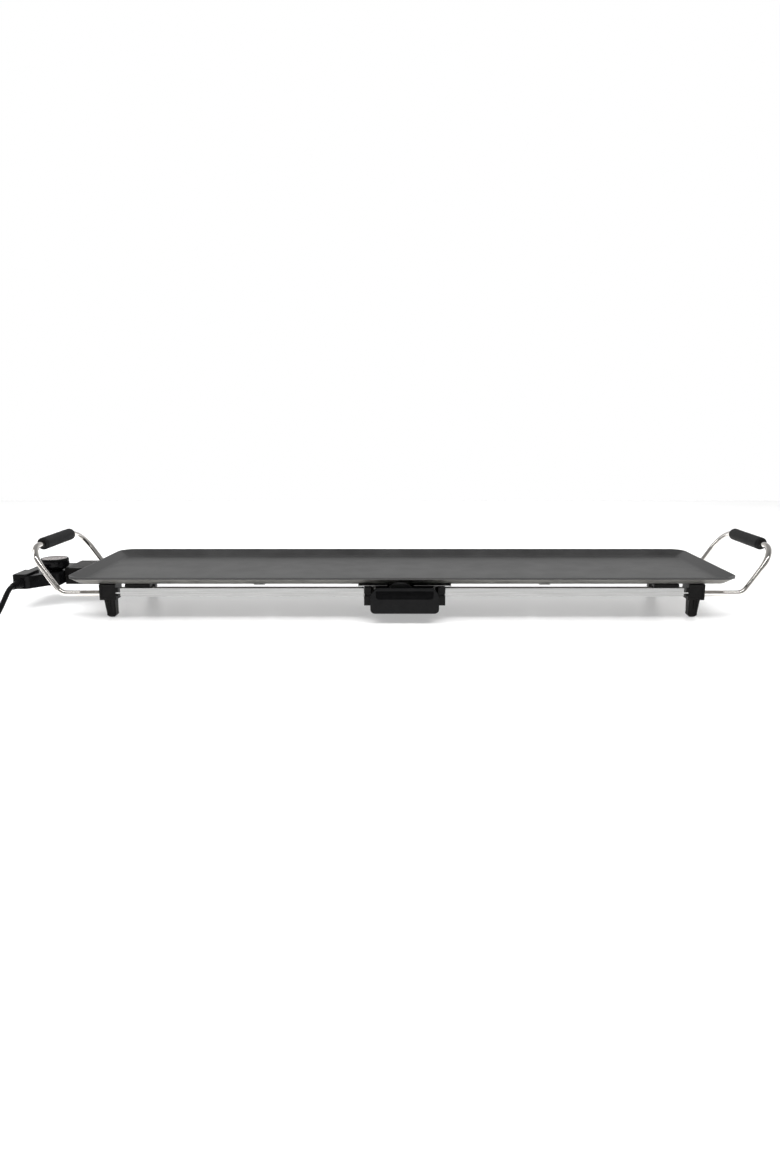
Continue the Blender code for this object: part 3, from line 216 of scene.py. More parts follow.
def foam_rubber():
    """Closed-cell NBR foam sleeve: dark grey, quite matt, with open cut cells on its skin."""
    material, tree, shader = start_material("nbr_foam_rubber", 0.88, Sheen_Weight=0.03)
    shader.inputs["Sheen Roughness"].default_value = 0.5
    place = object_place(tree)
    # the cells are near 0.3 mm across; they are drawn at 0.9 mm so that they show
    cells = add(
        tree, "ShaderNodeTexVoronoi", {"Scale": per_metre(0.9), "feature": "F1"}, {"Vector": place}
    ).outputs["Distance"]
    speckle = noise(tree, place, 1.8, detail=4.0, roughness=0.65)
    tree.links.new(two_tone(tree, speckle, "#070708", "#111112"), shader.inputs["Base Color"])
    soft = raise_surface(tree, shader, noise(tree, place, 4.5), 0.25, 0.3)
    raise_surface(tree, shader, cells, 0.25, 0.7, soft)
    return material


def spun_aluminium(centre):
    """A disc of lathe-turned aluminium foil stock: warm silver with fine rings round its middle."""
    material, tree, shader = start_material("lathe_turned_aluminium", 0.30, 1.0)
    place = object_place(tree, centre=centre)
    # the tool marks are near 0.1 mm apart; they are drawn at 0.8 mm so that they show
    rings = add(
        tree, "ShaderNodeTexWave",
        {
            "wave_type": "RINGS", "rings_direction": "Z", "Scale": per_metre(0.8) / 20,
            "Distortion": 0.6, "Detail": 2.0
        },
        {"Vector": place}
    ).outputs["Fac"]
    tree.links.new(two_tone(tree, rings, "#d8cdcb", "#ece4e2", 0.0, 1.0), shader.inputs["Base Color"])
    tree.links.new(spread(tree, rings, 0.24, 0.36, 0.0, 1.0), shader.inputs["Roughness"])
    raise_surface(tree, shader, rings, 0.01, 0.3)
    return material


KNOB_LOW, KNOB_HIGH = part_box("knob")
KNOB_AXIS = (KNOB_LOW + KNOB_HIGH) / 2

COATING = sprayed_ptfe()
# the pan's bare outside, dulled and darkened by heat; its cast grain, near 0.5 mm, is drawn at 1.5 mm
CASTING = clouded(
    "dulled_cast_aluminium", 0.44, 1.0, cloud=(30.0, 4.0), colours=("#85837f", "#9b9995"),
    gloss=(0.40, 0.50), bump=(1.5, 4.0, 0.6, 0.06, 0.35)
)
# bright chromium: a near-mirror with the faint unevenness of polished tube
CHROME = clouded(
    "chromium_plated_steel", 0.06, 1.0, cloud=(14.0, 3.0), gloss=(0.04, 0.10), bump=(22.0, 0.02, 0.25),
    Base_Color=linear("#e8e4df")
)
# silver strip with rolling lines along it; they are near 0.05 mm apart, and drawn at 1 mm
STRIP = clouded(
    "bright_annealed_strip", 0.22, 1.0, cloud=(1.0, 4.0), colours=("#989897", "#b0b0af"),
    gloss=(0.16, 0.27), bump=(0.01, 0.3), stretch=(0.02, 1.0, 1.0)
)
# a sheath that has been red hot: dark grey-brown, dry, with straw patches
SHEATH = clouded(
    "heat_oxidised_steel_sheath", 0.48, 1.0, cloud=(16.0, 5.0), colours=("#4d4844", "#857a6c"),
    bump=(0.8, 3.0, 0.03, 0.3)
)
# zinc plating: pale grey, slightly blue and cloudy
ZINC = clouded(
    "zinc_plated_steel", 0.34, 1.0, cloud=(2.5, 4.0), colours=("#8f9296", "#b9bcc0"), gloss=(0.26, 0.42)
)
# phenolic: baked hard and slightly brown-black, duller than ABS
PHENOLIC = moulded_black("moulded_phenolic", "#0e0d0d", "#181716", 0.30, 0.42, 1.3, 0.04)
# ABS from a semi-polished tool: glossier, with a faint grain
ABS = moulded_black("moulded_gloss_abs", "#0a0a0b", "#111112", 0.17, 0.26, 1.0, 0.02)
# the same ABS from a mirror-polished tool
POLISHED_ABS = moulded_black("mirror_polished_abs", "#070708", "#0c0c0d", 0.07, 0.13, 2.2, 0.01)
FOAM = foam_rubber()
# extruded PVC: black with a waxy, slightly uneven shine
PVC = clouded(
    "extruded_flexible_pvc", 0.36, 0.0, cloud=(6.0, 2.0), colours=("#070708", "#0e0e0f"),
    gloss=(0.30, 0.44), bump=(1.2, 2.0, 0.03, 0.3), Specular_IOR_Level=0.10
)
DISC = spun_aluminium(KNOB_AXIS)
# steatite ceramic: off-white, dry, faintly speckled
CERAMIC = clouded(
    "pressed_steatite", 0.55, 0.0, cloud=(1.1, 4.0), colours=("#cfc8b8", "#e4dfd2"), bump=(0.03, 0.3)
)
# rolled brass, a little tarnished: yellow with browner clouds
BRASS = clouded(
    "rolled_spring_brass", 0.28, 1.0, cloud=(5.0, 4.0), colours=("#a98645", "#d2b069"),
    gloss=(0.22, 0.38)
)
# nickel on brass plug pins: warm silver, smooth, lightly rubbed
NICKEL = clouded(
    "nickel_plated_brass", 0.18, 1.0, cloud=(1.5, 3.0), colours=("#c3bfb6", "#d9d6cf"),
    gloss=(0.12, 0.28), stretch=(1.0, 0.15, 1.0)
)
# a clear red lens: deep red, glossy, with light passing into it
RED = clouded(
    "tinted_polycarbonate", 0.08, 0.0, cloud=(3.0,), colours=("#7d1109", "#a31c10"),
    Transmission_Weight=0.35, IOR=1.58
)
# the lamp's blown envelope: clear with a faint orange from the gas inside
GLASS = clouded(
    "blown_lamp_glass", 0.05, 0.0, cloud=(4.0,), colours=("#e8b394", "#f6dccb"),
    Transmission_Weight=0.8, IOR=1.5
)


# ---- modelling by hand, in code


def deselect():
    bpy.ops.object.select_all(action="DESELECT")


def only(piece):
    deselect()
    piece.select_set(True)
    bpy.context.view_layer.objects.active = piece


def named(name):
    """Takes up the primitive that was just added, with its place in its mesh."""
    piece = bpy.context.object
    piece.name = name
    piece.data.name = name
    bpy.ops.object.transform_apply(location=True, rotation=True, scale=True)
    return piece


def block(name, low, high):
    """A cube stretched between two opposite corners, given in any order."""
    low, high = Vector(low), Vector(high)
    size = [abs(b - a) for a, b in zip(low, high)]
    deselect()
    bpy.ops.mesh.primitive_cube_add(size=1.0, location=(low + high) / 2, scale=size)
    return named(name)


def rod(name, start, end, radius, sides=32):
    """A cylinder between two points."""
    start, end = Vector(start), Vector(end)
    turn = (end - start).to_track_quat("Z", "Y").to_euler()
    deselect()
    bpy.ops.mesh.primitive_cylinder_add(
        vertices=sides, radius=radius, depth=(end - start).length, location=(start + end) / 2,
        rotation=turn
    )
    return named(name)


def edit(piece, kind, wanted):
    """Opens a piece with only some of its points, edges or faces selected.

    wanted is asked about a point's place, an edge's two ends, or a face's middle and direction.
    """
    only(piece)
    mesh = piece.data
    places = [vertex.co for vertex in mesh.vertices]
    for elements in (mesh.vertices, mesh.edges, mesh.polygons):
        elements.foreach_set("select", [False] * len(elements))
    if kind == "POINT":
        for vertex in mesh.vertices:
            vertex.select = bool(wanted(vertex.co))
    elif kind == "EDGE":
        for edge in mesh.edges:
            edge.select = bool(wanted(*[places[i] for i in edge.vertices]))
    else:
        for face in mesh.polygons:
            face.select = bool(wanted(face.center, face.normal))
    bpy.context.tool_settings.mesh_select_mode = (kind == "POINT", kind == "EDGE", kind == "FACE")
    bpy.ops.object.mode_set(mode="EDIT")


def close_edit():
    bpy.ops.object.mode_set(mode="OBJECT")


def everything(*_):
    return True


def round_edges(piece, wanted, width, segments=3):
    edit(piece, "EDGE", wanted)
    bpy.ops.mesh.bevel(offset=width, segments=segments, profile=0.5, affect="EDGES", clamp_overlap=True)
    close_edit()


def extrude(move):
    bpy.ops.mesh.extrude_region_move(TRANSFORM_OT_translate={"value": move})


def pull_faces(piece, wanted, move):
    edit(piece, "FACE", wanted)
    extrude(move)
    close_edit()


def sink_faces(piece, wanted, border, depth):
    """Insets the chosen faces as one region and pushes the middle in, or out if depth is negative."""
    edit(piece, "FACE", wanted)
    bpy.ops.mesh.inset(thickness=border, depth=0.0, use_even_offset=True)
    bpy.ops.mesh.inset(thickness=0.0, depth=-depth, use_even_offset=True)
    close_edit()


def move_points(piece, wanted, move):
    edit(piece, "POINT", wanted)
    bpy.ops.transform.translate(value=move)
    close_edit()


def slice_at(piece, point, normal):
    """Adds an edge loop where a plane crosses the whole piece."""
    edit(piece, "FACE", everything)
    bpy.ops.mesh.bisect(plane_co=point, plane_no=normal)
    close_edit()


def face_outwards(piece):
    edit(piece, "FACE", everything)
    bpy.ops.mesh.remove_doubles(threshold=0.00001)
    bpy.ops.mesh.normals_make_consistent(inside=False)
    close_edit()


def apply_modifier(piece, kind, **settings):
    only(piece)
    modifier = piece.modifiers.new(kind.lower(), kind)
    for key, value in settings.items():
        setattr(modifier, key, value)
    bpy.ops.object.modifier_apply(modifier=modifier.name)


def combine(piece, tools, operation):
    for tool in tools:
        apply_modifier(piece, "BOOLEAN", operation=operation, object=tool, solver="EXACT")
        bpy.data.objects.remove(tool, do_unlink=True)
    return piece


def cut(piece, *tools):
    return combine(piece, tools, "DIFFERENCE")


def unite(piece, *others):
    return combine(piece, others, "UNION")


def lathe(name, foot, axis, stations, sides=48):
    """A turned piece: a ring carried along an axis through (distance, radius) stations.

    Where the last station is the first one again, the wall closes on itself; otherwise the two
    ends are filled.
    """
    axis = Vector(axis).normalized()
    foot = Vector(foot)
    first_distance, first_radius = stations[0]
    deselect()
    bpy.ops.mesh.primitive_circle_add(
        vertices=sides, radius=first_radius, fill_type="NOTHING", location=foot + axis * first_distance,
        rotation=axis.to_track_quat("Z", "Y").to_euler()
    )
    piece = named(name)
    edit(piece, "EDGE", everything)
    for (distance, radius), (next_distance, next_radius) in zip(stations, stations[1:]):
        extrude(axis * (next_distance - distance))
        bpy.ops.transform.resize(
            value=[next_radius / radius] * 3, center_override=foot + axis * next_distance
        )
    bpy.ops.mesh.select_all(action="SELECT")
    bpy.ops.mesh.remove_doubles(threshold=0.000005)
    bpy.ops.mesh.select_all(action="SELECT")
    if stations[0] != stations[-1]:
        bpy.ops.mesh.fill_holes(sides=0)
    bpy.ops.mesh.normals_make_consistent(inside=False)
    close_edit()
    return piece


X_AXIS, Y_AXIS, Z_AXIS = (Vector(row) for row in Matrix.Identity(3))


def turning(node, axis):
    """The foot, length and radius of a node that is turned about axis 0, 1 or 2."""
    low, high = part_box(node)
    foot = (low + high) / 2
    foot[axis] = low[axis]
    across = 0 if axis else 1
    return foot, high[axis] - low[axis], (high[across] - low[across]) / 2


def drill(x, y, bottom, top, radius, sides=20):
    """A cutter for an upright hole."""
    return rod("hole", (x, y, bottom), (x, y, top), radius, sides)


# which edges of a piece are rounded, by their two ends


def upright(least):
    return lambda a, b: abs(a.z - b.z) > least


def below(z):
    return lambda a, b: max(a.z, b.z) < z


def above(z):
    return lambda a, b: min(a.z, b.z) > z


def bent_tube(name, stations, radius, sides=24, bend_steps=10):
    """A tube drawn along (x, y, z, bend radius) stations: a ring is extruded and spun in turn."""
    corners = [Vector(station[:3]) for station in stations]
    heading = (corners[1] - corners[0]).normalized()
    deselect()
    bpy.ops.mesh.primitive_circle_add(
        vertices=sides, radius=radius, fill_type="NOTHING", location=corners[0],
        rotation=heading.to_track_quat("Z", "Y").to_euler()
    )
    tube = named(name)
    edit(tube, "EDGE", everything)
    at = corners[0]
    for station, corner, after in zip(stations[1:], corners[1:], corners[2:]):
        turned_to = (after - corner).normalized()
        angle = heading.angle(turned_to)
        reach = station[3] * math.tan(angle / 2)
        bend_start = corner - heading * reach
        extrude(bend_start - at)
        inwards = (turned_to - heading).normalized()
        centre = corner + inwards * (station[3] / math.cos(angle / 2))
        bpy.ops.mesh.spin(
            steps=bend_steps, angle=SPIN_SENSE * angle, center=centre,
            axis=heading.cross(turned_to).normalized()
        )
        at = corner + turned_to * reach
        heading = turned_to
    extrude(corners[-1] - at)
    bpy.ops.mesh.select_all(action="SELECT")
    bpy.ops.mesh.fill_holes(sides=0)
    bpy.ops.mesh.remove_doubles(threshold=0.000005)
    bpy.ops.mesh.normals_make_consistent(inside=False)
    close_edit()
    return tube


# the spin operator turns against the right-hand rule when there is no window
SPIN_SENSE = -1.0


def mirrored(piece, name, across_x, across_y):
    """A copy, with its own mesh, mirrored left to right or front to back or both."""
    twin = piece.copy()
    twin.data = piece.data.copy()
    twin.name = twin.data.name = name
    bpy.context.scene.collection.objects.link(twin)
    centre = Matrix.Translation(MIDDLE)
    flip = Matrix.Diagonal((-1 if across_x else 1, -1 if across_y else 1, 1, 1))
    twin.data.transform(centre @ flip @ centre.inverted())
    face_outwards(twin)
    return twin


def finished(piece, material, body, node, edge=0.0, segments=2, smooth_below=32):
    """Rounds a piece's sharp edges, shades it, and gives it its finish and its place in the frame."""
    if edge:
        apply_modifier(
            piece, "BEVEL", width=edge, segments=segments, limit_method="ANGLE",
            angle_limit=math.radians(32), use_clamp_overlap=True, miter_outer="MITER_ARC"
        )
    only(piece)
    bpy.ops.object.shade_smooth_by_angle(angle=math.radians(smooth_below))
    if edge:
        apply_modifier(piece, "WEIGHTED_NORMAL", keep_sharp=True)
    piece.data.materials.clear()
    piece.data.materials.append(material)
    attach(piece, body)
    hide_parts(node)
    return piece


def repaint(material, *nodes):
    """Gives CAD nodes, whose shape is right as it is, their finish."""
    for node in nodes:
        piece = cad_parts[node]
        piece.data.materials.clear()
        piece.data.materials.append(material)


# ---- lead

CORD_DIAMETER = 0.007
BOOT_LOW, BOOT_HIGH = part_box("strain_relief")
COIL_LOW, COIL_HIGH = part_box("cord_coil")
PLUG_LOW, PLUG_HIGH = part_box("plug_body")
COIL_WIDE = 3  # turns side by side


def smooth_through(stations, spacing):
    """Points about one spacing apart on a smooth curve through the stations."""
    padded = [2 * stations[0] - stations[1], *stations, 2 * stations[-1] - stations[-2]]
    points = [stations[0]]
    for before, start, end, after in zip(padded, padded[1:], padded[2:], padded[3:]):
        steps = max(1, round((end - start).length / spacing))
        for step in range(1, steps + 1):
            t = step / steps
            points.append(
                start * (2 * t**3 - 3 * t**2 + 1)
                + (end - before) / 2 * (t**3 - 2 * t**2 + t)
                + end * (3 * t**2 - 2 * t**3)
                + (after - start) / 2 * (t**3 - t**2)
            )
    return points


def ease(share):
    share = min(1.0, max(0.0, share))
    return share * share * (3 - 2 * share)


def coil_turns():
    """The wound lead, clockwise from above: in along the table, up, and out again on top.

    It starts at the coil's right side, heading to the front, and ends at its left side, heading
    to the back. A step from one turn to the next takes a sixth of a turn, and the steps keep out
    of each other's way: outwards on top first, then up, then inwards on the table.
    """
    centre = (COIL_LOW + COIL_HIGH) / 2
    middle_radius = (COIL_HIGH.x - COIL_LOW.x) / 2 - CORD_DIAMETER * COIL_WIDE / 2
    inner, middle, outer = [middle_radius + CORD_DIAMETER * step for step in (-1, 0, 1)]
    low = CORD_DIAMETER / 2 + 0.0001
    high = low + CORD_DIAMETER
    laid = (
        (outer, low, 4 / 6), (middle, low, 4 / 6), (inner, low, 3 / 6), (inner, high, 2 / 6),
        (middle, high, 2 / 6), (outer, high, 1.0)
    )
    per_turn = 28
    points = []
    for turn, ((radius, height, step_at), following) in enumerate(zip(laid, (*laid[1:], laid[-1]))):
        share_end = 0.5 if turn == len(laid) - 1 else 1.0
        steps = round(per_turn * share_end)
        for step in range(steps):
            share = step / per_turn
            moved = ease((share - step_at - 1 / 6) * 6) if step_at < 1.0 else 0.0
            angle = -2 * math.pi * share
            at_radius = radius + (following[0] - radius) * moved
            at_height = height + (following[1] - height) * moved
            x = centre.x + at_radius * math.cos(angle)
            points.append(Vector((x, centre.y + at_radius * math.sin(angle), at_height)))
    points.append(Vector((centre.x - outer, centre.y, high)))
    return points


def mains_lead():
    """1.5 m of round PVC lead: down to the table from the boot, coiled to the left, then the plug."""
    exit_at = Vector(((BOOT_LOW.x + BOOT_HIGH.x) / 2, BOOT_LOW.y, (BOOT_LOW.z + BOOT_HIGH.z) / 2))
    boot_x = exit_at.x - MIDDLE.x
    drop = [exit_at + Vector((0.0, 0.003, 0.0)), exit_at + Vector((0.0, -0.0063, -0.0001))]
    drop += [
        from_middle(boot_x + aside, y, z)
        for aside, y, z in (
            (0.0018, -0.0920, 0.0343), (0.0032, -0.1060, 0.0268), (0.0038, -0.1200, 0.0184),
            (0.0040, -0.1350, 0.0103), (0.0040, -0.1500, 0.0053), (0.0040, -0.1640, 0.0037)
        )
    ]
    turns = coil_turns()
    plug_boot = Vector(((PLUG_LOW.x + PLUG_HIGH.x) / 2, PLUG_LOW.y, (PLUG_LOW.z + PLUG_HIGH.z) / 2))
    leave_x = turns[-1].x - MIDDLE.x
    tail = [
        from_middle(leave_x - aside, y, z)
        for aside, y, z in (
            (0.0, -0.1760, 0.0103), (0.0, -0.1650, 0.0099), (0.0006, -0.1500, 0.0102),
            (0.0018, -0.1360, 0.0134)
        )
    ]
    tail += [plug_boot + Vector((0.0, -0.0060, -0.0001)), plug_boot + Vector((0.0, 0.0040, 0.0))]
    route = smooth_through([*drop, turns[0]], 0.006)[:-1] + turns
    route += smooth_through([turns[-1], *tail], 0.006)[1:]
    curve = bpy.data.curves.new("mains_lead", "CURVE")
    curve.dimensions = "3D"
    curve.bevel_depth = CORD_DIAMETER / 2
    curve.bevel_resolution = 5
    curve.use_fill_caps = True
    spline = curve.splines.new("NURBS")
    spline.points.add(len(route) - 1)
    for point, place in zip(spline.points, route):
        point.co = (*place, 1.0)
    spline.order_u = 4
    spline.use_endpoint_u = True
    spline.resolution_u = 3
    lead = bpy.data.objects.new("mains_lead", curve)
    bpy.context.scene.collection.objects.link(lead)
    curve.materials.append(PVC)
    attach(lead, "controller")
    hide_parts("cord_run", "cord_coil", "cord_tail")
    return lead, exit_at


def boot():
    """The lead's boot: a collar against the casing, then a taper of soft rings."""
    foot, length, outer = turning("strain_relief", 1)
    end_radius = CORD_DIAMETER / 2 + 0.0010
    start = 0.0090
    stations = [
        (0.0, 0.0061), (0.0030, 0.0061), (0.0030, 0.0050), (0.0056, 0.0050), (0.0056, outer - 0.0004),
        (0.0060, outer), (start, outer)
    ]
    rings = 5
    pitch = (length - start) / rings
    for ring in range(rings):
        near, far = [outer + (end_radius - outer) * (ring + share) / rings for share in (0.35, 1.0)]
        at = start + pitch * ring
        stations += [(at + pitch * share, near - 0.0011) for share in (0.12, 0.38)]
        stations += [(at + pitch * 0.50, near), (at + pitch, far)]
    piece = lathe("lead_boot", foot + length * Y_AXIS, -Y_AXIS, stations, sides=40)
    return finished(piece, PVC, "controller", "strain_relief")


def plug():
    """A round moulded mains plug: a ribbed grip, a waist and a tapered boot, with two plain pins."""
    foot, length, face = turning("plug_body", 1)
    stations = [(0.0, 0.0045)]
    for ring in range(4):
        at = 0.003 + ring * 0.0034
        radius = 0.0052 + ring * 0.0006
        stations += [(at, radius), (at + 0.0018, radius + 0.0002)]
        stations += [(at + 0.0022, radius - 0.0007), (at + 0.0030, radius - 0.0007)]
    stations += [(0.0180, 0.0078), (0.0215, 0.0088), (0.0255, 0.0123), (0.0290, 0.0131)]
    stations += [
        (length - 0.0200, 0.0149), (length - 0.0165, 0.0164), (length - 0.0140, face - 0.0004),
        (length - 0.0130, face), (length - 0.0012, face), (length - 0.0003, face - 0.0004),
        (length, face - 0.0012), (length, face - 0.0040), (length - 0.0008, face - 0.0044)
    ]
    body = lathe("plug_moulding", foot, Y_AXIS, stations, sides=56)
    for number in (1, 2):
        node = f"plug_pin_{number}"
        foot, length, radius = turning(node, 1)
        socket = rod("socket", foot - FIT * Y_AXIS, foot + length * Y_AXIS, radius + 0.0004, 24)
        cut(body, socket)
        stations = [
            (0.0, radius - 0.0003), (0.0003, radius), (length - 0.0030, radius),
            (length - 0.0016, radius * 0.93), (length - 0.0006, radius * 0.72), (length, radius * 0.35)
        ]
        pin = lathe(f"nickel_pin_{number}", foot, Y_AXIS, stations, sides=28)
        finished(pin, NICKEL, "controller", node)
    return finished(body, PVC, "controller", "plug_body", edge=0.0004)


def coil_tie():
    """A flat strap bent over the coil, with rounded shoulders."""
    low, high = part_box("cord_tie")
    wall = 0.0012
    strap = block("coil_strap", low, high)
    clear = block(
        "strap_inside", (low.x - 0.001, low.y + wall, low.z - 0.001),
        (high.x + 0.001, high.y - wall, high.z - wall)
    )
    cut(strap, clear)
    round_edges(
        strap, lambda a, b: abs(a.x - b.x) > 0.005 and min(a.z, b.z) > low.z + 0.004, wall * 0.9, 3
    )
    return finished(strap, PHENOLIC, "controller", "cord_tie", edge=0.0002)


# ---- pan

RIM_X = (PLATE_HIGH.x - PLATE_LOW.x) / 2
RIM_Y = (PLATE_HIGH.y - PLATE_LOW.y) / 2
RIM_CORNER = 0.022
RIM_LIP = 0.0015
WALL_RUN = 0.0145
PAN_DEPTH = 0.009
PAN_WALL = 0.003
PAN_BOTTOM = RIM_Z - PAN_DEPTH - PAN_WALL
DRAIN = from_middle(-0.002, -0.090, 0.0)
SPOUT_RADIUS = 0.022
SPOUT_TOP = 0.0523
SPOUT_BOTTOM = 0.0455
LEG_BOSSES = [(side * 0.402, row * 0.065) for side in (-1, 1) for row in (-1, 1)]
BAR_XS = (-0.20, 0.20)
LEG_BORE = 0.0023
SMALL_BORE = 0.0018
HOLDER_SCREW_ASIDE = 0.0585
HOLDER_SCREW_Y = MIDDLE.y - 0.0775
GUARD_SCREWS = [(-0.419, y) for y in (-0.001, 0.051)]
PROBE_Y = 0.025
PIN_YS = (0.0125, 0.0375)
PIN_Z = 0.040


def pan_dish():
    """The thin cast dish: rim, flared wall, rounded foot of the wall and flat floor."""
    deselect()
    rim = from_middle(0.0, 0.0, RIM_Z)
    bpy.ops.mesh.primitive_plane_add(size=2.0, location=rim)
    bpy.ops.transform.resize(value=(RIM_X, RIM_Y, 1.0))
    dish = named("griddle_pan")
    edit(dish, "POINT", everything)
    bpy.ops.mesh.bevel(offset=RIM_CORNER, segments=14, profile=0.5, affect="VERTICES")
    close_edit()
    edit(dish, "FACE", everything)
    bpy.ops.mesh.inset(thickness=RIM_LIP, depth=0.0, use_boundary=True, use_even_offset=True)
    bpy.ops.mesh.inset(thickness=WALL_RUN, depth=-PAN_DEPTH, use_boundary=True, use_even_offset=True)
    close_edit()
    floor_z = RIM_Z - PAN_DEPTH
    round_edges(dish, below(floor_z + 0.0001), 0.003, 4)
    inner_x = RIM_X - RIM_LIP - 0.0002
    inner_y = RIM_Y - RIM_LIP - 0.0002

    def inner_rim(a, b):
        outside = on_outer_rim(a, inner_x, inner_y) or on_outer_rim(b, inner_x, inner_y)
        return min(a.z, b.z) > RIM_Z - 0.0001 and not outside

    round_edges(dish, inner_rim, 0.0009)
    apply_modifier(dish, "SOLIDIFY", thickness=PAN_WALL, offset=-1.0, use_even_offset=True)
    return dish


def on_outer_rim(point, inner_x, inner_y):
    """Whether a point is on the rim's outer outline, which has rounded corners."""
    x = abs(point.x - MIDDLE.x)
    y = abs(point.y - MIDDLE.y)
    if x > RIM_X - RIM_CORNER and y > RIM_Y - RIM_CORNER:
        across = math.hypot(x - RIM_X + RIM_CORNER, y - RIM_Y + RIM_CORNER)
        return across > RIM_CORNER - 0.0006
    return x > inner_x + 0.0008 or y > inner_y + 0.0008


def drain_spout():
    """The half-round spout that stands out under the front wall."""
    axis_z = SPOUT_TOP - SPOUT_RADIUS
    spout = rod(
        "spout", (DRAIN.x, MIDDLE.y - 0.1085, axis_z), (DRAIN.x, MIDDLE.y - 0.080, axis_z),
        SPOUT_RADIUS, 96
    )
    edit(spout, "FACE", everything)
    bpy.ops.mesh.bisect(
        plane_co=(DRAIN.x, DRAIN.y, SPOUT_BOTTOM), plane_no=(0, 0, 1), clear_inner=True, use_fill=True
    )
    close_edit()
    return spout


def griddle_pan():
    dish = pan_dish()
    in_floor = PAN_BOTTOM + PAN_WALL / 2
    bosses = [
        rod("leg_boss", from_middle(x, y, 0.0425), from_middle(x, y, in_floor), 0.006)
        for x, y in LEG_BOSSES
    ]
    bosses += [
        rod("bar_boss", from_middle(x, 0, 0.0411), from_middle(x, 0, in_floor), 0.005)
        for x in BAR_XS
    ]
    probe_boss = block(
        "probe_boss", from_middle(-0.416, 0.0165, PLATE_LOW.z), from_middle(-0.377, 0.0335, in_floor)
    )
    round_edges(probe_boss, lambda a, b: min(a.z, b.z) < 0.034, 0.0015, 2)
    unite(dish, drain_spout(), probe_boss, *bosses)
    drain = drill(DRAIN.x, DRAIN.y, 0.040, 0.056, 0.005, 40)
    bore = rod(
        "probe_bore", from_middle(-0.417, PROBE_Y, PIN_Z), from_middle(-0.381, PROBE_Y, PIN_Z), 0.0034
    )
    tray_middle = 0.0035
    small = [(x, 0.0) for x in BAR_XS] + GUARD_SCREWS
    small += [(tray_middle + side * HOLDER_SCREW_ASIDE, -0.0775) for side in (-1, 1)]
    blind = [
        drill(MIDDLE.x + x, MIDDLE.y + y, 0.040, PAN_BOTTOM + 0.0018, radius)
        for places, radius in ((LEG_BOSSES, LEG_BORE), (small, SMALL_BORE))
        for x, y in places
    ]
    cut(dish, drain, bore, *blind)
    finished(dish, COATING, "griddle", "griddle_plate", edge=0.0005)
    dish.data.materials.append(CASTING)
    for face in dish.data.polygons:
        if face.normal.z < -0.2:
            face.material_index = 1


# ---- legs


def leg_moulding():
    """The front right leg; the other three are its mirror images."""
    low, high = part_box("leg_front_right")
    outer = high.x
    inner = outer - 0.0222
    front = low.y
    back = front + 0.0275
    axis_y = front + 0.014
    top = high.z
    block_bottom = 0.0264
    body = block("leg_block", (inner, front, block_bottom), (outer, back, top))
    round_edges(body, upright(0.01), 0.0014, 3)
    sink_faces(body, lambda middle, normal: normal.y < -0.99, 0.0024, 0.0006)
    unite(body, leg_shaft(inner + 0.0042, outer - 0.0030, axis_y))
    ear = block("ear", (inner + 0.0080, back - 0.001, 0.0365), (outer - 0.0002, high.y, 0.0422))
    round_edges(ear, lambda a, b: abs(a.z - b.z) > 0.004 and min(a.y, b.y) > back, 0.002, 3)
    claws = [
        block("claw", (low.x, front + 0.0005, bottom), (inner + 0.002, front + 0.0055, claw_top))
        for bottom, claw_top in ((0.0377, 0.0425), (0.0315, 0.0343))
    ]
    unite(body, ear, *claws)
    tube_z = 0.0325
    bore = rod("bore", (inner + 0.0065, axis_y, tube_z), (outer + 0.002, axis_y, tube_z), 0.0043)
    slot = block("slot", (low.x - 0.002, front + 0.001, 0.0345), (inner + 0.003, front + 0.003, 0.0375))
    screw_x = inner + 0.0150
    screw_y = front + 0.037
    cut(body, bore, slot, drill(screw_x, screw_y, 0.030, 0.044, LEG_BORE, 32))
    return body


def leg_shaft(inner, outer, axis_y):
    """A shaft that narrows towards the floor, upright on its inner side, with two flutes in front."""
    top = 0.030
    narrow = 0.0032
    shaft = block("shaft", (inner, axis_y - 0.009, 0.0), (outer, axis_y + 0.009, top))
    move_points(shaft, lambda p: p.z < 0.001 and p.x > outer - 0.001, (-narrow, 0.0, 0.0))
    move_points(shaft, lambda p: p.z < 0.001 and p.y < axis_y, (0.0, 0.0025, 0.0))
    move_points(shaft, lambda p: p.z < 0.001 and p.y > axis_y, (0.0, -0.0025, 0.0))
    round_edges(shaft, below(0.001), 0.0056, 6)
    round_edges(shaft, upright(0.015), 0.0024, 4)
    flute = 0.0016
    for share in (0.36, 0.66):
        x = inner + (outer - narrow - inner) * share + 0.001
        groove = block(
            "flute", (x - flute / 2, axis_y - 0.012, 0.0070), (x + flute / 2, axis_y - 0.0070, 0.0262)
        )
        cut(shaft, groove)
    return shaft


def legs():
    first = leg_moulding()
    for row in ("rear", "front"):
        for side in ("left", "right"):
            if (row, side) == ("front", "right"):
                leg = first
                leg.name = "leg_front_right_moulding"
            else:
                leg = mirrored(first, f"leg_{row}_{side}_moulding", side == "left", row == "rear")
            finished(leg, PHENOLIC, "griddle", f"leg_{row}_{side}", edge=0.0005)


# ---- screws


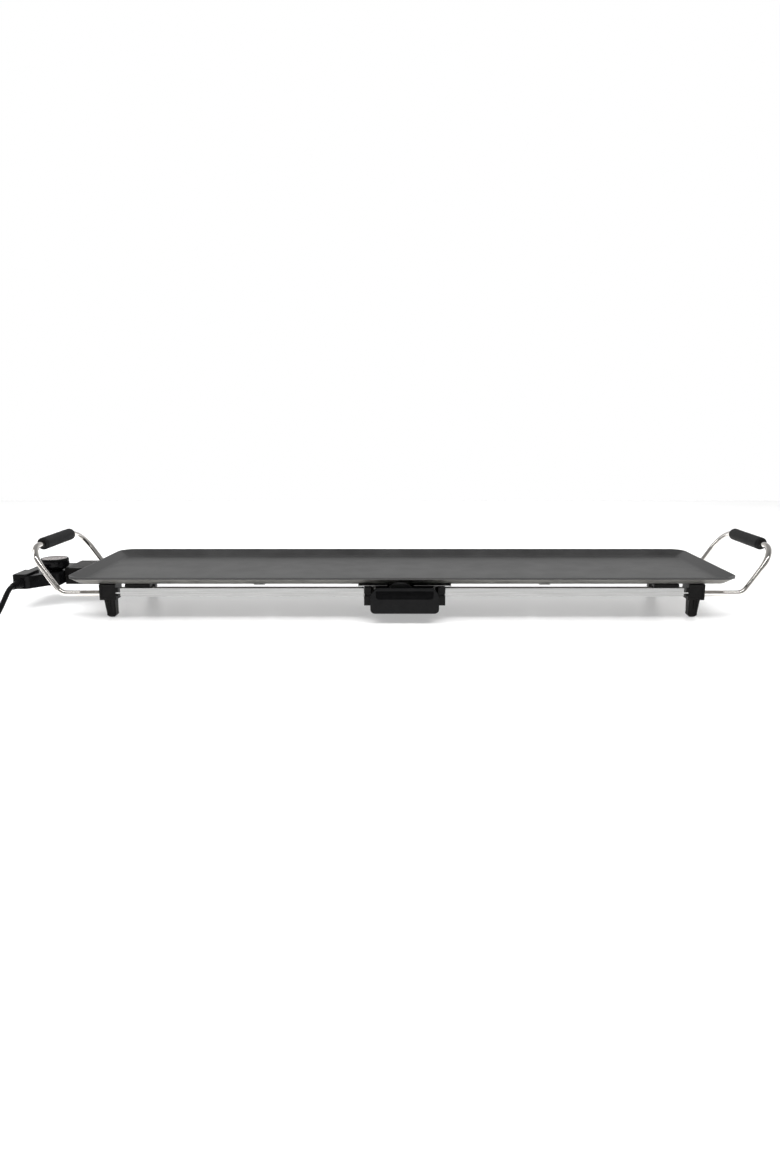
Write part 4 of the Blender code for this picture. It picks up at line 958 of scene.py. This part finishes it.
def screw(node, body):
    """A pan-head screw with a cross recess, head down."""
    foot, length, head = turning(node, 2)
    shank = 0.0020 if head > 0.004 else 0.0015
    head_height = head * 0.55
    pitch = 0.0009
    stations = [
        (0.0, head * 0.45), (head_height * 0.12, head * 0.72), (head_height * 0.40, head * 0.93),
        (head_height * 0.75, head), (head_height, head), (head_height, shank)
    ]
    at = head_height + 0.0012
    while at < length - 0.0015:
        stations += [(at, shank * 0.84), (at + pitch / 2, shank)]
        at += pitch
    stations += [(length - 0.0010, shank * 0.84), (length, shank * 0.5)]
    piece = lathe(f"{node}_zinc", foot, Z_AXIS, stations, sides=28)
    arm, width = head * 0.55, head * 0.11
    for across, along in ((arm, width), (width, arm)):
        half = Vector((across, along, 0.0))
        low, high = foot - half, foot + half
        cut(piece, block("recess", low - 0.001 * Z_AXIS, high + head_height * 0.6 * Z_AXIS))
    finished(piece, ZINC, body, node)


def screws():
    for node in sorted(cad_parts):
        if "_screw" in node:
            screw(node, "controller" if node.startswith("casing") else "griddle")


# ---- rails


def rail(node, row, open_end=None):
    """A bright angle strip with a rolled lower edge; its tabs reach into the legs."""
    low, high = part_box(node)
    sheet = 0.001
    flange = 0.008
    tab = 0.0085
    left = low.x + (tab if open_end != "left" else 0.0)
    right = high.x - (tab if open_end != "right" else 0.0)
    outer = low.y if row < 0 else high.y
    inner = outer - row * sheet
    strip = block(f"{node}_strip", (left, outer, low.z), (right, inner, high.z))
    slice_at(strip, (0, 0, high.z - sheet), (0, 0, 1))
    pull_faces(
        strip, lambda middle, normal: normal.y * row < -0.9 and middle.z > high.z - sheet,
        (0.0, -row * (flange - sheet), 0.0)
    )
    slice_at(strip, (0, 0, low.z + 0.0012), (0, 0, 1))
    pull_faces(
        strip, lambda middle, normal: normal.y * row < -0.9 and middle.z < low.z + 0.0012,
        (0.0, -row * 0.0012, 0.0)
    )
    tabs = []
    for side, end, opened in ((-1, left, open_end == "left"), (1, right, open_end == "right")):
        if not opened:
            tabs.append(
                block("tab", (end - side * 0.004, outer, 0.0349), (end + side * tab, inner, 0.0371))
            )
    unite(strip, *tabs)
    finished(strip, STRIP, "griddle", node, edge=0.00035)


def rails():
    rail("front_rail_left", -1, "right")
    rail("front_rail_right", -1, "left")
    rail("rear_rail", 1)
    for row in ("front", "rear"):
        for side in ("left", "right"):
            node = f"rail_spacer_{row}_{side}"
            low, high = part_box(node)
            spacer = block(f"{node}_block", low, high)
            middle_y = (low.y + high.y) / 2
            groove = block(
                "groove", (low.x + 0.004, middle_y - 0.0015, low.z - 0.001),
                (high.x - 0.004, middle_y + 0.0015, low.z + 0.0015)
            )
            cut(spacer, groove)
            finished(spacer, PHENOLIC, "griddle", node, edge=0.0007, segments=3)


# ---- handles


def handle(side_name, side):
    """The chromed tube, bent at its two feet and its two shoulders, and its foam sleeve."""
    tube_radius = 0.004
    tube_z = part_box(f"handle_tube_{side_name}")[0].z + tube_radius
    leg_y = MIDDLE.y - 0.088
    foot, length, radius = turning(f"grip_{side_name}", 1)
    half = [
        (MIDDLE.x + side * 0.394, leg_y, tube_z, 0.0), (MIDDLE.x + side * 0.466, leg_y, tube_z, 0.015),
        (foot.x, leg_y, foot.z, 0.034)
    ]
    other = [(x, 2 * MIDDLE.y - y, z, bend) for x, y, z, bend in reversed(half)]
    tube = bent_tube(f"handle_{side_name}_tube", [*half, *other], tube_radius, 32, 14)
    finished(tube, CHROME, "griddle", f"handle_tube_{side_name}")
    foam_sleeve(side_name, foot, length, radius, tube_radius + FIT)


def foam_sleeve(side_name, foot, length, radius, bore):
    """The sleeve with its rounded ends and a slightly uneven outside."""
    round_off = 0.0026
    steps = 5
    stations = [(0.0, bore), (0.0, radius - round_off)]
    for step in range(1, steps + 1):
        angle = math.pi / 2 * step / steps
        along = round_off * (1 - math.cos(angle))
        stations.append((along, radius - round_off * (1 - math.sin(angle))))
    rings = 20
    straight = length - 2 * round_off
    stations += [(round_off + straight * ring / rings, radius) for ring in range(1, rings)]
    stations += [(length - along, at_radius) for along, at_radius in reversed(stations[1:steps + 2])]
    stations += [(length, bore), (0.0, bore)]
    sleeve = lathe(f"grip_{side_name}_sleeve", foot, Y_AXIS, stations, sides=72)
    uneven = bpy.data.textures.new(f"foam_{side_name}", "CLOUDS")
    uneven.noise_scale = 0.012
    outside = sleeve.vertex_groups.new(name="outside")
    for vertex in sleeve.data.vertices:
        if math.hypot(vertex.co.x - foot.x, vertex.co.z - foot.z) > radius * 0.7:
            outside.add([vertex.index], 1.0, "REPLACE")
    apply_modifier(
        sleeve, "DISPLACE", texture=uneven, strength=0.0006, mid_level=0.75, vertex_group="outside",
        texture_coords="GLOBAL"
    )
    sleeve.vertex_groups.clear()
    finished(sleeve, FOAM, "griddle", f"grip_{side_name}", smooth_below=50)


# ---- drip tray and its holder

TRAY_LOW, TRAY_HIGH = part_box("drip_tray")
TRAY_X = (TRAY_LOW.x + TRAY_HIGH.x) / 2
PANEL_SHEET = 0.006
PANEL_HALF = 0.0455
TRAY_LIP_TOP = 0.036


def holder_plate():
    low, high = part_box("tray_holder_plate")
    plate = block("holder_strip", low, high)
    notch = block(
        "notch", (DRAIN.x - 0.0175, low.y - 0.002, low.z - 0.001),
        (DRAIN.x + 0.0175, MIDDLE.y - 0.0795, high.z + 0.001)
    )
    cut(plate, notch)
    round_edges(plate, lambda a, b: max(a.y, b.y) < low.y + 0.0001, 0.0009, 4)
    for side in (-1, 1):
        x = TRAY_X + side * HOLDER_SCREW_ASIDE
        cut(plate, drill(x, HOLDER_SCREW_Y, low.z - 0.001, high.z + 0.001, SMALL_BORE))
    finished(plate, STRIP, "griddle", "tray_holder_plate", edge=0.0003)


def runner(node, side):
    """A black channel beside the tray; its front end shows as a wing."""
    low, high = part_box(node)
    outer = TRAY_X + side * 0.0545
    web = outer - side * 0.002
    lip = TRAY_X + side * 0.043
    bottom = low.z
    top = 0.0383
    body = block(f"{node}_channel", (lip, low.y, bottom), (outer, high.y, top))
    slot = block(
        "slot", (lip - side * 0.001, low.y - 0.001, TRAY_LIP_TOP - 0.0023),
        (web, high.y + 0.001, TRAY_LIP_TOP + FIT)
    )
    cap_back = low.y + 0.004
    under = block(
        "under", (lip - side * 0.001, cap_back, bottom - 0.001),
        (web, high.y + 0.001, TRAY_LIP_TOP - 0.0043)
    )
    shoulder = block(
        "shoulder", (outer - side * 0.0014, low.y - 0.001, TRAY_LIP_TOP - 0.0030),
        (outer + side * 0.001, low.y + 0.012, top + 0.001)
    )
    cut(body, slot, under, shoulder)
    holder_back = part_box("tray_holder_plate")[1].y
    post = block(
        "post", (TRAY_X + side * 0.0448, low.y + 0.0004, top - 0.001),
        (outer - side * 0.0002, holder_back - 0.002, high.z)
    )
    ear = block(
        "ear", (outer - side * 0.002, HOLDER_SCREW_Y - 0.006, high.z - 0.002),
        (TRAY_X + side * 0.0625, HOLDER_SCREW_Y + 0.006, high.z - 0.0001)
    )
    unite(body, post, ear)
    cut(body, drill(TRAY_X + side * HOLDER_SCREW_ASIDE, HOLDER_SCREW_Y, 0.042, 0.047, SMALL_BORE))
    finished(body, PHENOLIC, "griddle", node, edge=0.0004)


def tray_front():
    """The tray's front panel: slanted shoulders, round lower corners and a deep finger recess."""
    low, high = TRAY_LOW, TRAY_HIGH
    left = TRAY_X - PANEL_HALF
    right = TRAY_X + PANEL_HALF
    back = low.y + PANEL_SHEET
    panel = block("tray_front", (left, low.y, low.z), (right, back, high.z))
    round_edges(panel, lambda a, b: abs(a.y - b.y) > 0.004 and max(a.z, b.z) < low.z + 0.001, 0.006, 8)
    shoulder_in = 0.0075
    shoulder_down = 0.0095
    slice_at(panel, (0, 0, high.z - shoulder_down), (0, 0, 1))
    move_points(panel, lambda p: p.z > high.z - 0.0001 and p.x < left + 0.001, (shoulder_in, 0.0, 0.0))
    move_points(
        panel, lambda p: p.z > high.z - 0.0001 and p.x > right - 0.001, (-shoulder_in, 0.0, 0.0)
    )
    round_edges(
        panel, lambda a, b: abs(a.y - b.y) > 0.004 and min(a.z, b.z) > high.z - shoulder_down - 0.0005,
        0.0025, 4
    )

    def front_outline(a, b):
        across = abs(a.x - b.x) > 0.08 and low.z + 0.02 < a.z < high.z - 0.001
        return max(a.y, b.y) < low.y + 0.0001 and not across

    round_edges(panel, front_outline, 0.0014, 4)
    recess = block(
        "finger_recess", (left + 0.0075, low.y - 0.002, high.z - 0.0145),
        (right - 0.0075, low.y + 0.0042, high.z - 0.0034)
    )
    move_points(recess, lambda p: p.y > low.y + 0.001 and p.z < high.z - 0.010, (0.0, -0.0028, 0.0))
    round_edges(
        recess, lambda a, b: abs(a.y - b.y) > 0.002 and max(a.z, b.z) < high.z - 0.010, 0.004, 5
    )
    round_edges(
        recess, lambda a, b: abs(a.y - b.y) > 0.004 and min(a.z, b.z) > high.z - 0.005, 0.0012, 3
    )
    return cut(panel, recess)


def tray():
    low, high = TRAY_LOW, TRAY_HIGH
    half = 0.042  # half the drawer's width
    wall = 0.0018
    bottom = 0.0165
    back = low.y + PANEL_SHEET
    body = block(
        "drip_tray_drawer", (TRAY_X - half, back - 0.002, bottom), (TRAY_X + half, high.y, TRAY_LIP_TOP)
    )
    round_edges(body, lambda a, b: max(a.z, b.z) < bottom + 0.0001 and min(a.y, b.y) > back, 0.003, 4)
    lips = [
        block(
            "lip", (TRAY_X + side * (half - 0.001), back + 0.014, TRAY_LIP_TOP - 0.002),
            (TRAY_X + side * 0.0515, high.y - 0.0002, TRAY_LIP_TOP - 0.00005)
        )
        for side in (-1, 1)
    ]
    unite(body, tray_front(), *lips)
    well = block(
        "well", (TRAY_X - half + wall, back + 0.0005, bottom + wall),
        (TRAY_X + half - wall, high.y - wall, TRAY_LIP_TOP + 0.002)
    )
    round_edges(well, below(bottom + wall + 0.0001), 0.0025, 4)
    round_edges(well, upright(0.01), 0.002, 3)
    cut(body, well)
    finished(body, ABS, "tray", "drip_tray", edge=0.0004)


# ---- heating element


def element():
    """The heating loop, whose cold ends are the pins, and the two straps that press it to the pan."""
    low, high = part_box("heating_element")
    radius = 0.00325
    z = high.z - radius
    pin_z = low.z + radius
    front_pin, back_pin = [MIDDLE.y + y for y in PIN_YS]
    left = MIDDLE.x - 0.362
    right = high.x - radius
    near = low.y + radius
    far = high.y - radius
    stations = [
        (low.x, front_pin, pin_z, 0), (MIDDLE.x - 0.415, front_pin, pin_z, 0.012),
        (MIDDLE.x - 0.392, front_pin, z, 0.012), (left, front_pin, z, 0.012), (left, near, z, 0.018),
        (right, near, z, 0.022), (right, far, z, 0.022), (left, far, z, 0.0085),
        (left, back_pin, z, 0.0085), (MIDDLE.x - 0.392, back_pin, z, 0.012),
        (MIDDLE.x - 0.415, back_pin, pin_z, 0.012), (low.x, back_pin, pin_z, 0)
    ]
    loop = bent_tube("element_loop", stations, radius, 20, 8)
    finished(loop, SHEATH, "griddle", "heating_element")
    for number in (1, 2):
        node = f"element_bar_{number}"
        bar_low, bar_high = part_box(node)
        centre = (bar_low + bar_high) / 2
        bar = block(f"{node}_strap", bar_low, bar_high)
        round_edges(bar, upright(0.001), 0.003, 4)
        cut(bar, drill(centre.x, centre.y, bar_low.z - 0.001, bar_high.z + 0.001, SMALL_BORE))
        finished(bar, STRIP, "griddle", node, edge=0.0003)


# ---- socket guard


def guard():
    """The stepped cover over the pins, open towards the thermostat, with cooling slots below."""
    low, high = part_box("socket_guard")
    wall = 0.002
    right = MIDDLE.x - 0.424
    step_x = MIDDLE.x - 0.4425
    under_pan = PAN_BOTTOM - FIT
    body = block("pin_guard", (low.x, low.y, low.z), (right, high.y, under_pan))
    step = block("step", (low.x, low.y, under_pan - 0.004), (step_x, high.y, high.z))
    ears = [
        block(
            "ear", (right - 0.001, MIDDLE.y + y - 0.0045, under_pan - 0.002),
            (high.x, MIDDLE.y + y + 0.0045, under_pan - 0.0001)
        )
        for x, y in GUARD_SCREWS
    ]
    unite(body, step)
    round_edges(body, lambda a, b: abs(a.x - b.x) > 0.01 and abs(a.z - b.z) < 0.0001, 0.0018, 4)
    unite(body, *ears)
    low_well = block(
        "low_well", (low.x - 0.002, low.y + wall, low.z + wall),
        (right - wall, high.y - wall, under_pan - wall)
    )
    high_well = block(
        "high_well", (low.x - 0.003, low.y + wall, low.z + 0.010),
        (step_x - wall, high.y - wall, high.z - wall)
    )
    cut(body, low_well, high_well)
    for y, radius in ((PIN_YS[0], 0.00375), (PROBE_Y, 0.0035), (PIN_YS[1], 0.00375)):
        cut(body, rod("way", from_middle(-0.428, y, PIN_Z), from_middle(-0.422, y, PIN_Z), radius, 28))
    for x, y in GUARD_SCREWS:
        cut(body, drill(MIDDLE.x + x, MIDDLE.y + y, 0.044, 0.049, SMALL_BORE))
    for number in range(4):
        x = low.x + 0.016 + number * 0.011
        slot = block(
            "cooling_slot", (x, low.y + 0.012, low.z - 0.001),
            (x + 0.003, high.y - 0.012, low.z + wall + 0.0005)
        )
        cut(body, slot)
    finished(body, PHENOLIC, "griddle", "socket_guard", edge=0.0004)


# ---- thermostat

CASE_LOW, CASE_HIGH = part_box("controller_lower")
UPPER_LOW, UPPER_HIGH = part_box("controller_upper")
CASE_RIGHT = MIDDLE.x - 0.4945
CASE_FRONT = MIDDLE.y - 0.027
ARM_RIGHT = MIDDLE.x - 0.530
SLOPE_END = MIDDLE.x - 0.510
ARM_TOP = UPPER_HIGH.z
CASE_TOP = ARM_TOP - 0.003
CASE_WALL = 0.002
NOSE_FRONT = MIDDLE.y - 0.004
NOSE_BACK = MIDDLE.y + 0.054
CASE_SCREWS = [(-0.545, 0.051), (-0.503, 0.0515), (-0.5405, -0.025)]


def case_prism(name, inset, bottom, top):
    """The casing's outline with its arm, pulled from one block, with rounded upright corners."""
    left = CASE_LOW.x + inset
    right = CASE_RIGHT - inset
    front = CASE_FRONT + inset
    back = CASE_HIGH.y - inset
    arm_front = CASE_LOW.y + inset
    arm_right = ARM_RIGHT - inset
    slope_end = SLOPE_END - inset / 2
    prism = block(name, (left, front, bottom), (right, back, top))
    slice_at(prism, (slope_end, 0, 0), (1, 0, 0))
    pull_faces(
        prism, lambda middle, normal: normal.y < -0.9 and middle.x < slope_end,
        (0.0, arm_front - front, 0.0)
    )
    move_points(
        prism, lambda p: p.y < arm_front + 0.0001 and p.x > slope_end - 0.0001,
        (arm_right - slope_end, 0.0, 0.0)
    )
    radius = max(0.0006, 0.004 - inset)
    round_edges(
        prism, lambda a, b: abs(a.z - b.z) > 0.001 and not math.isclose(a.x, slope_end, abs_tol=0.0005),
        radius, 5
    )
    return prism


def case_nose(end, bottom, top, wall=0.0):
    """The casing's nose towards the pan, or the hollow that leaves it a wall."""
    near = (CASE_RIGHT - 0.002 - wall, NOSE_FRONT + wall, bottom)
    return block("nose", near, (end - wall, NOSE_BACK - wall, top))


def case_ways():
    """Cutters for the pins, the probe and the lead's boot."""
    end = UPPER_HIGH.x
    ways = [
        rod("way", (end - 0.004, MIDDLE.y + y, PIN_Z), (end + 0.002, MIDDLE.y + y, PIN_Z), radius, 32)
        for y, radius in ((PIN_YS[0], 0.00385), (PROBE_Y, 0.0033), (PIN_YS[1], 0.00385))
    ]
    cord_x = (BOOT_LOW.x + BOOT_HIGH.x) / 2
    cord_z = (BOOT_LOW.z + BOOT_HIGH.z) / 2
    ways.append(
        rod(
            "boot_way", (cord_x, CASE_LOW.y - 0.002, cord_z),
            (cord_x, CASE_LOW.y + CASE_WALL + 0.001, cord_z), 0.0053, 40
        )
    )
    return ways


def posts(name, bottom, top, radius):
    return [
        rod(name, from_middle(x, y, bottom), from_middle(x, y, top), radius, 24)
        for x, y in CASE_SCREWS
    ]


def case_lower():
    bottom = CASE_LOW.z
    split = CASE_HIGH.z
    body = case_prism("thermostat_base_shell", 0.0, bottom, split)
    round_edges(body, below(bottom + 0.0001), 0.0022, 4)
    nose_bottom = bottom + 0.0015
    nose = case_nose(CASE_HIGH.x, nose_bottom, split)
    round_edges(nose, lambda a, b: abs(a.x - b.x) > 0.01 and max(a.z, b.z) < bottom + 0.002, 0.0015, 3)
    unite(body, nose)
    well = case_prism("well", CASE_WALL, bottom + CASE_WALL, split + 0.001)
    cut(body, well, case_nose(CASE_HIGH.x, nose_bottom + CASE_WALL, split + 0.002, CASE_WALL))
    unite(body, *posts("post", bottom + 0.001, split - 0.0002, 0.0045))
    cut(
        body, *posts("recess", bottom - 0.001, 0.0360, 0.0034), *posts("hole", 0.035, 0.041, SMALL_BORE)
    )
    cut(body, *case_ways())
    finished(body, ABS, "controller", "controller_lower", edge=0.0003)


def case_upper():
    bottom = UPPER_LOW.z
    body = case_prism("thermostat_lid_shell", 0.0, bottom, CASE_TOP)
    round_edges(body, above(CASE_TOP - 0.0001), 0.0034, 5)
    arm_back = MIDDLE.y - 0.010
    arm = block("arm", (CASE_LOW.x, CASE_LOW.y, bottom + 0.0001), (ARM_RIGHT, arm_back, ARM_TOP))
    round_edges(arm, lambda a, b: abs(a.z - b.z) > 0.005 and max(a.y, b.y) < arm_back - 0.01, 0.004, 5)
    round_edges(arm, above(ARM_TOP - 0.0001), 0.0022, 4)
    nose_top = CASE_TOP - 0.0005
    nose = case_nose(UPPER_HIGH.x, bottom, nose_top)
    round_edges(
        nose, lambda a, b: abs(a.x - b.x) > 0.01 and min(a.z, b.z) > CASE_TOP - 0.001, 0.0015, 3
    )
    collar = rod(
        "collar", (KNOB_AXIS.x, KNOB_AXIS.y, CASE_TOP - 0.001),
        (KNOB_AXIS.x, KNOB_AXIS.y, KNOB_LOW.z - 0.0005), 0.010, 56
    )
    unite(body, arm, nose, collar)
    well = case_prism("well", CASE_WALL, bottom - 0.001, CASE_TOP - CASE_WALL)
    arm_well = block(
        "arm_well", (CASE_LOW.x + CASE_WALL, CASE_LOW.y + CASE_WALL, bottom - 0.002),
        (ARM_RIGHT - CASE_WALL - 0.0005, arm_back - CASE_WALL, ARM_TOP - CASE_WALL)
    )
    nose_well = case_nose(UPPER_HIGH.x, bottom - 0.003, nose_top - CASE_WALL, CASE_WALL)
    cut(body, well, arm_well, nose_well)
    unite(body, *posts("post", bottom + 0.0003, CASE_TOP - 0.001, 0.0040))
    lens_low, lens_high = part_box("indicator_lens")
    lens = (lens_low + lens_high) / 2
    cut(
        body, *posts("hole", 0.039, 0.0452, SMALL_BORE),
        rod(
            "spindle_way", (KNOB_AXIS.x, KNOB_AXIS.y, 0.044), (KNOB_AXIS.x, KNOB_AXIS.y, 0.052), 0.0034
        ),
        rod("lens_way", (lens.x, lens.y, 0.044), (lens.x, lens.y, 0.050), 0.0038, 40), *case_ways()
    )
    finished(body, ABS, "controller", "controller_upper", edge=0.0003)


def knob():
    """The knob: a shallow drum with a rolled top edge and a skirt that tapers in, and its disc."""
    foot, height, radius = turning("knob", 2)
    stations = [
        (0.0104, 0.0034), (0.0, 0.0034), (0.0, 0.0135), (0.0003, 0.0140), (0.0018, 0.0161),
        (0.0034, radius - 0.0015), (0.0048, radius - 0.0005), (0.0064, radius)
    ]
    stations += [
        (height - down, radius - inwards)
        for down, inwards in (
            (0.0026, 0.0001), (0.0014, 0.0003), (0.0006, 0.0008), (0.0001, 0.0014), (0.0, 0.0019),
            (0.0003, 0.0022), (0.0012, 0.0022), (0.0012, radius - 0.0005)
        )
    ]
    drum = lathe("knob_drum", foot, Z_AXIS, stations, sides=96)
    finished(drum, POLISHED_ABS, "knob", "knob", smooth_below=40)
    foot, thick, radius = turning("knob_disc", 2)
    stations = [
        (0.0, radius - 0.0002), (thick * 0.5, radius), (thick - 0.00005, radius - 0.0002),
        (thick, radius - 0.0006), (thick, radius - 0.0030), (thick - 0.00020, radius - 0.0034),
        (thick - 0.00020, 0.0010)
    ]
    disc = lathe("knob_dial", foot, Z_AXIS, stations, sides=96)
    top = foot + Vector((0.0, -radius, thick))
    pointer = block(
        "pointer", top + Vector((-0.0005, 0.0004, -0.00035)), top + Vector((0.0005, 0.0028, 0.001))
    )
    cut(disc, pointer)
    finished(disc, DISC, "knob", "knob_disc", smooth_below=40)


def lens():
    foot, height, radius = turning("indicator_lens", 2)
    straight = 0.72
    steps = 6
    stations = [(0.0, radius * 0.92), (0.0004, radius), (height * straight, radius)]
    for step in range(1, steps + 1):
        angle = math.pi / 2 * step / steps
        up = height * (straight + (1 - straight) * math.sin(angle))
        stations.append((up, max(0.0002, radius * math.cos(angle))))
    piece = lathe("lamp_lens", foot, Z_AXIS, stations, sides=40)
    finished(piece, RED, "controller", "indicator_lens", smooth_below=40)


def contacts():
    """The sprung sleeves on the pins, the probe, the spindle and what stays inside the casing."""
    wall = 0.0011
    edge = 0.0003
    for end in ("front", "rear"):
        node = f"contact_sleeve_{end}"
        foot, length, radius = turning(node, 0)
        waist = radius - 0.0004
        stations = [
            (0.0, radius - wall), (0.0, radius - edge), (edge, radius), (length * 0.30, radius),
            (length * 0.36, waist), (length * 0.48, waist), (length * 0.54, radius),
            (length - edge, radius), (length, radius - edge), (length, radius - wall),
            (0.0, radius - wall)
        ]
        sleeve = lathe(f"{node}_spring", foot, X_AXIS, stations, sides=32)
        finished(sleeve, BRASS, "controller", node)
    foot, length, radius = turning("probe_rod", 0)
    stations = [(0.0, radius - 0.0004), (0.0004, radius), (length - 0.0022, radius)]
    stations += [
        (length - 0.0011, radius * 0.86), (length - 0.0003, radius * 0.55), (length, radius * 0.2)
    ]
    probe = lathe("probe_tube", foot, X_AXIS, stations, sides=32)
    finished(probe, STRIP, "controller", "probe_rod")
    foot, length, radius = turning("spindle", 2)
    stations = [
        (0.0, radius - 0.0004), (0.0004, radius), (length - 0.0004, radius), (length, radius - 0.0004)
    ]
    shaft = lathe("knob_spindle", foot, Z_AXIS, stations, sides=32)
    finished(shaft, STRIP, "knob", "spindle")
    repaint(CERAMIC, "thermostat_base", "terminal_block")
    repaint(BRASS, "fixed_blade", "moving_blade")
    repaint(ABS, "cord_clamp")
    repaint(GLASS, "indicator_lamp")


# ---- studio


def studio():
    """A white table, a pale backdrop low behind it, and a wide soft light overhead."""
    deselect()
    bpy.ops.mesh.primitive_plane_add(size=2.8, location=(0.0, 0.0, 0.0))
    table = bpy.context.object
    table.name = "table"
    material, tree, shader = start_material("white_acrylic_table", 0.24)
    shader.inputs["Base Color"].default_value = linear("#e6e6e6")
    shader.inputs["Emission Color"].default_value = linear("#ffffff")
    shader.inputs["Emission Strength"].default_value = 0.36
    table.data.materials.append(material)
    surround()
    soft_lights()
    bpy.context.scene.view_settings.view_transform = "Standard"


def surround():
    """A backdrop that is pale near the table and behind it; the ceiling and the front are dark."""
    world = bpy.data.worlds.new("surround")
    bpy.context.scene.world = world
    world.use_nodes = True
    tree = world.node_tree
    background = tree.nodes["Background"]
    background.inputs["Color"].default_value = linear("#ffffff")
    towards = add(tree, "ShaderNodeTexCoord").outputs["Generated"]
    split = add(tree, "ShaderNodeSeparateXYZ", None, {"Vector": towards}).outputs
    by_height = spread(tree, split["Z"], 1.0, 0.50, 0.30, 0.62)
    by_depth = spread(tree, split["Y"], 0.30, 0.62, -0.35, 0.45)
    shaded = add(tree, "ShaderNodeMath", {"operation": "MULTIPLY"}, {0: by_height, 1: by_depth})
    seen = add(tree, "ShaderNodeLightPath").outputs["Is Camera Ray"]
    links = {0: shaded.outputs["Value"], 1: seen}
    strength = add(tree, "ShaderNodeMath", {"operation": "MAXIMUM"}, links)
    tree.links.new(strength.outputs["Value"], background.inputs["Strength"])


def soft_lights():
    """The wide overhead cloth, and two narrow strips that draw thin highlights on polished edges."""
    for name, place, aim, size, power, mirrored in (
        ("overhead_cloth", (-0.08, 0.05, 1.3), (-0.08, 0.0, 0.0), (2.4, 1.7), 42.0, False),
        ("front_strip", (0.0, -0.75, 1.5), (0.0, 0.0, 0.0), (2.6, 0.25), 12.0, True),
        ("left_strip", (-1.7, 0.1, 0.8), (-0.4, 0.0, 0.0), (0.5, 1.2), 5.0, True)
    ):
        data = bpy.data.lights.new(name, "AREA")
        data.shape = "RECTANGLE"
        data.size, data.size_y = size
        data.energy = power
        light = bpy.data.objects.new(name, data)
        bpy.context.scene.collection.objects.link(light)
        light.location = place
        light.rotation_euler = (Vector(aim) - Vector(place)).to_track_quat("-Z", "Y").to_euler()
        light.visible_glossy = mirrored


# ---- the whole griddle

lead, lead_exit = mains_lead()
lead_boot = boot()
plug_moulding = plug()
tie = coil_tie()
griddle_pan()
legs()
screws()
rails()
handle("left", -1)
handle("right", 1)
holder_plate()
runner("tray_runner_left", -1)
runner("tray_runner_right", 1)
tray()
element()
guard()
case_lower()
case_upper()
knob()
lens()
contacts()
studio()
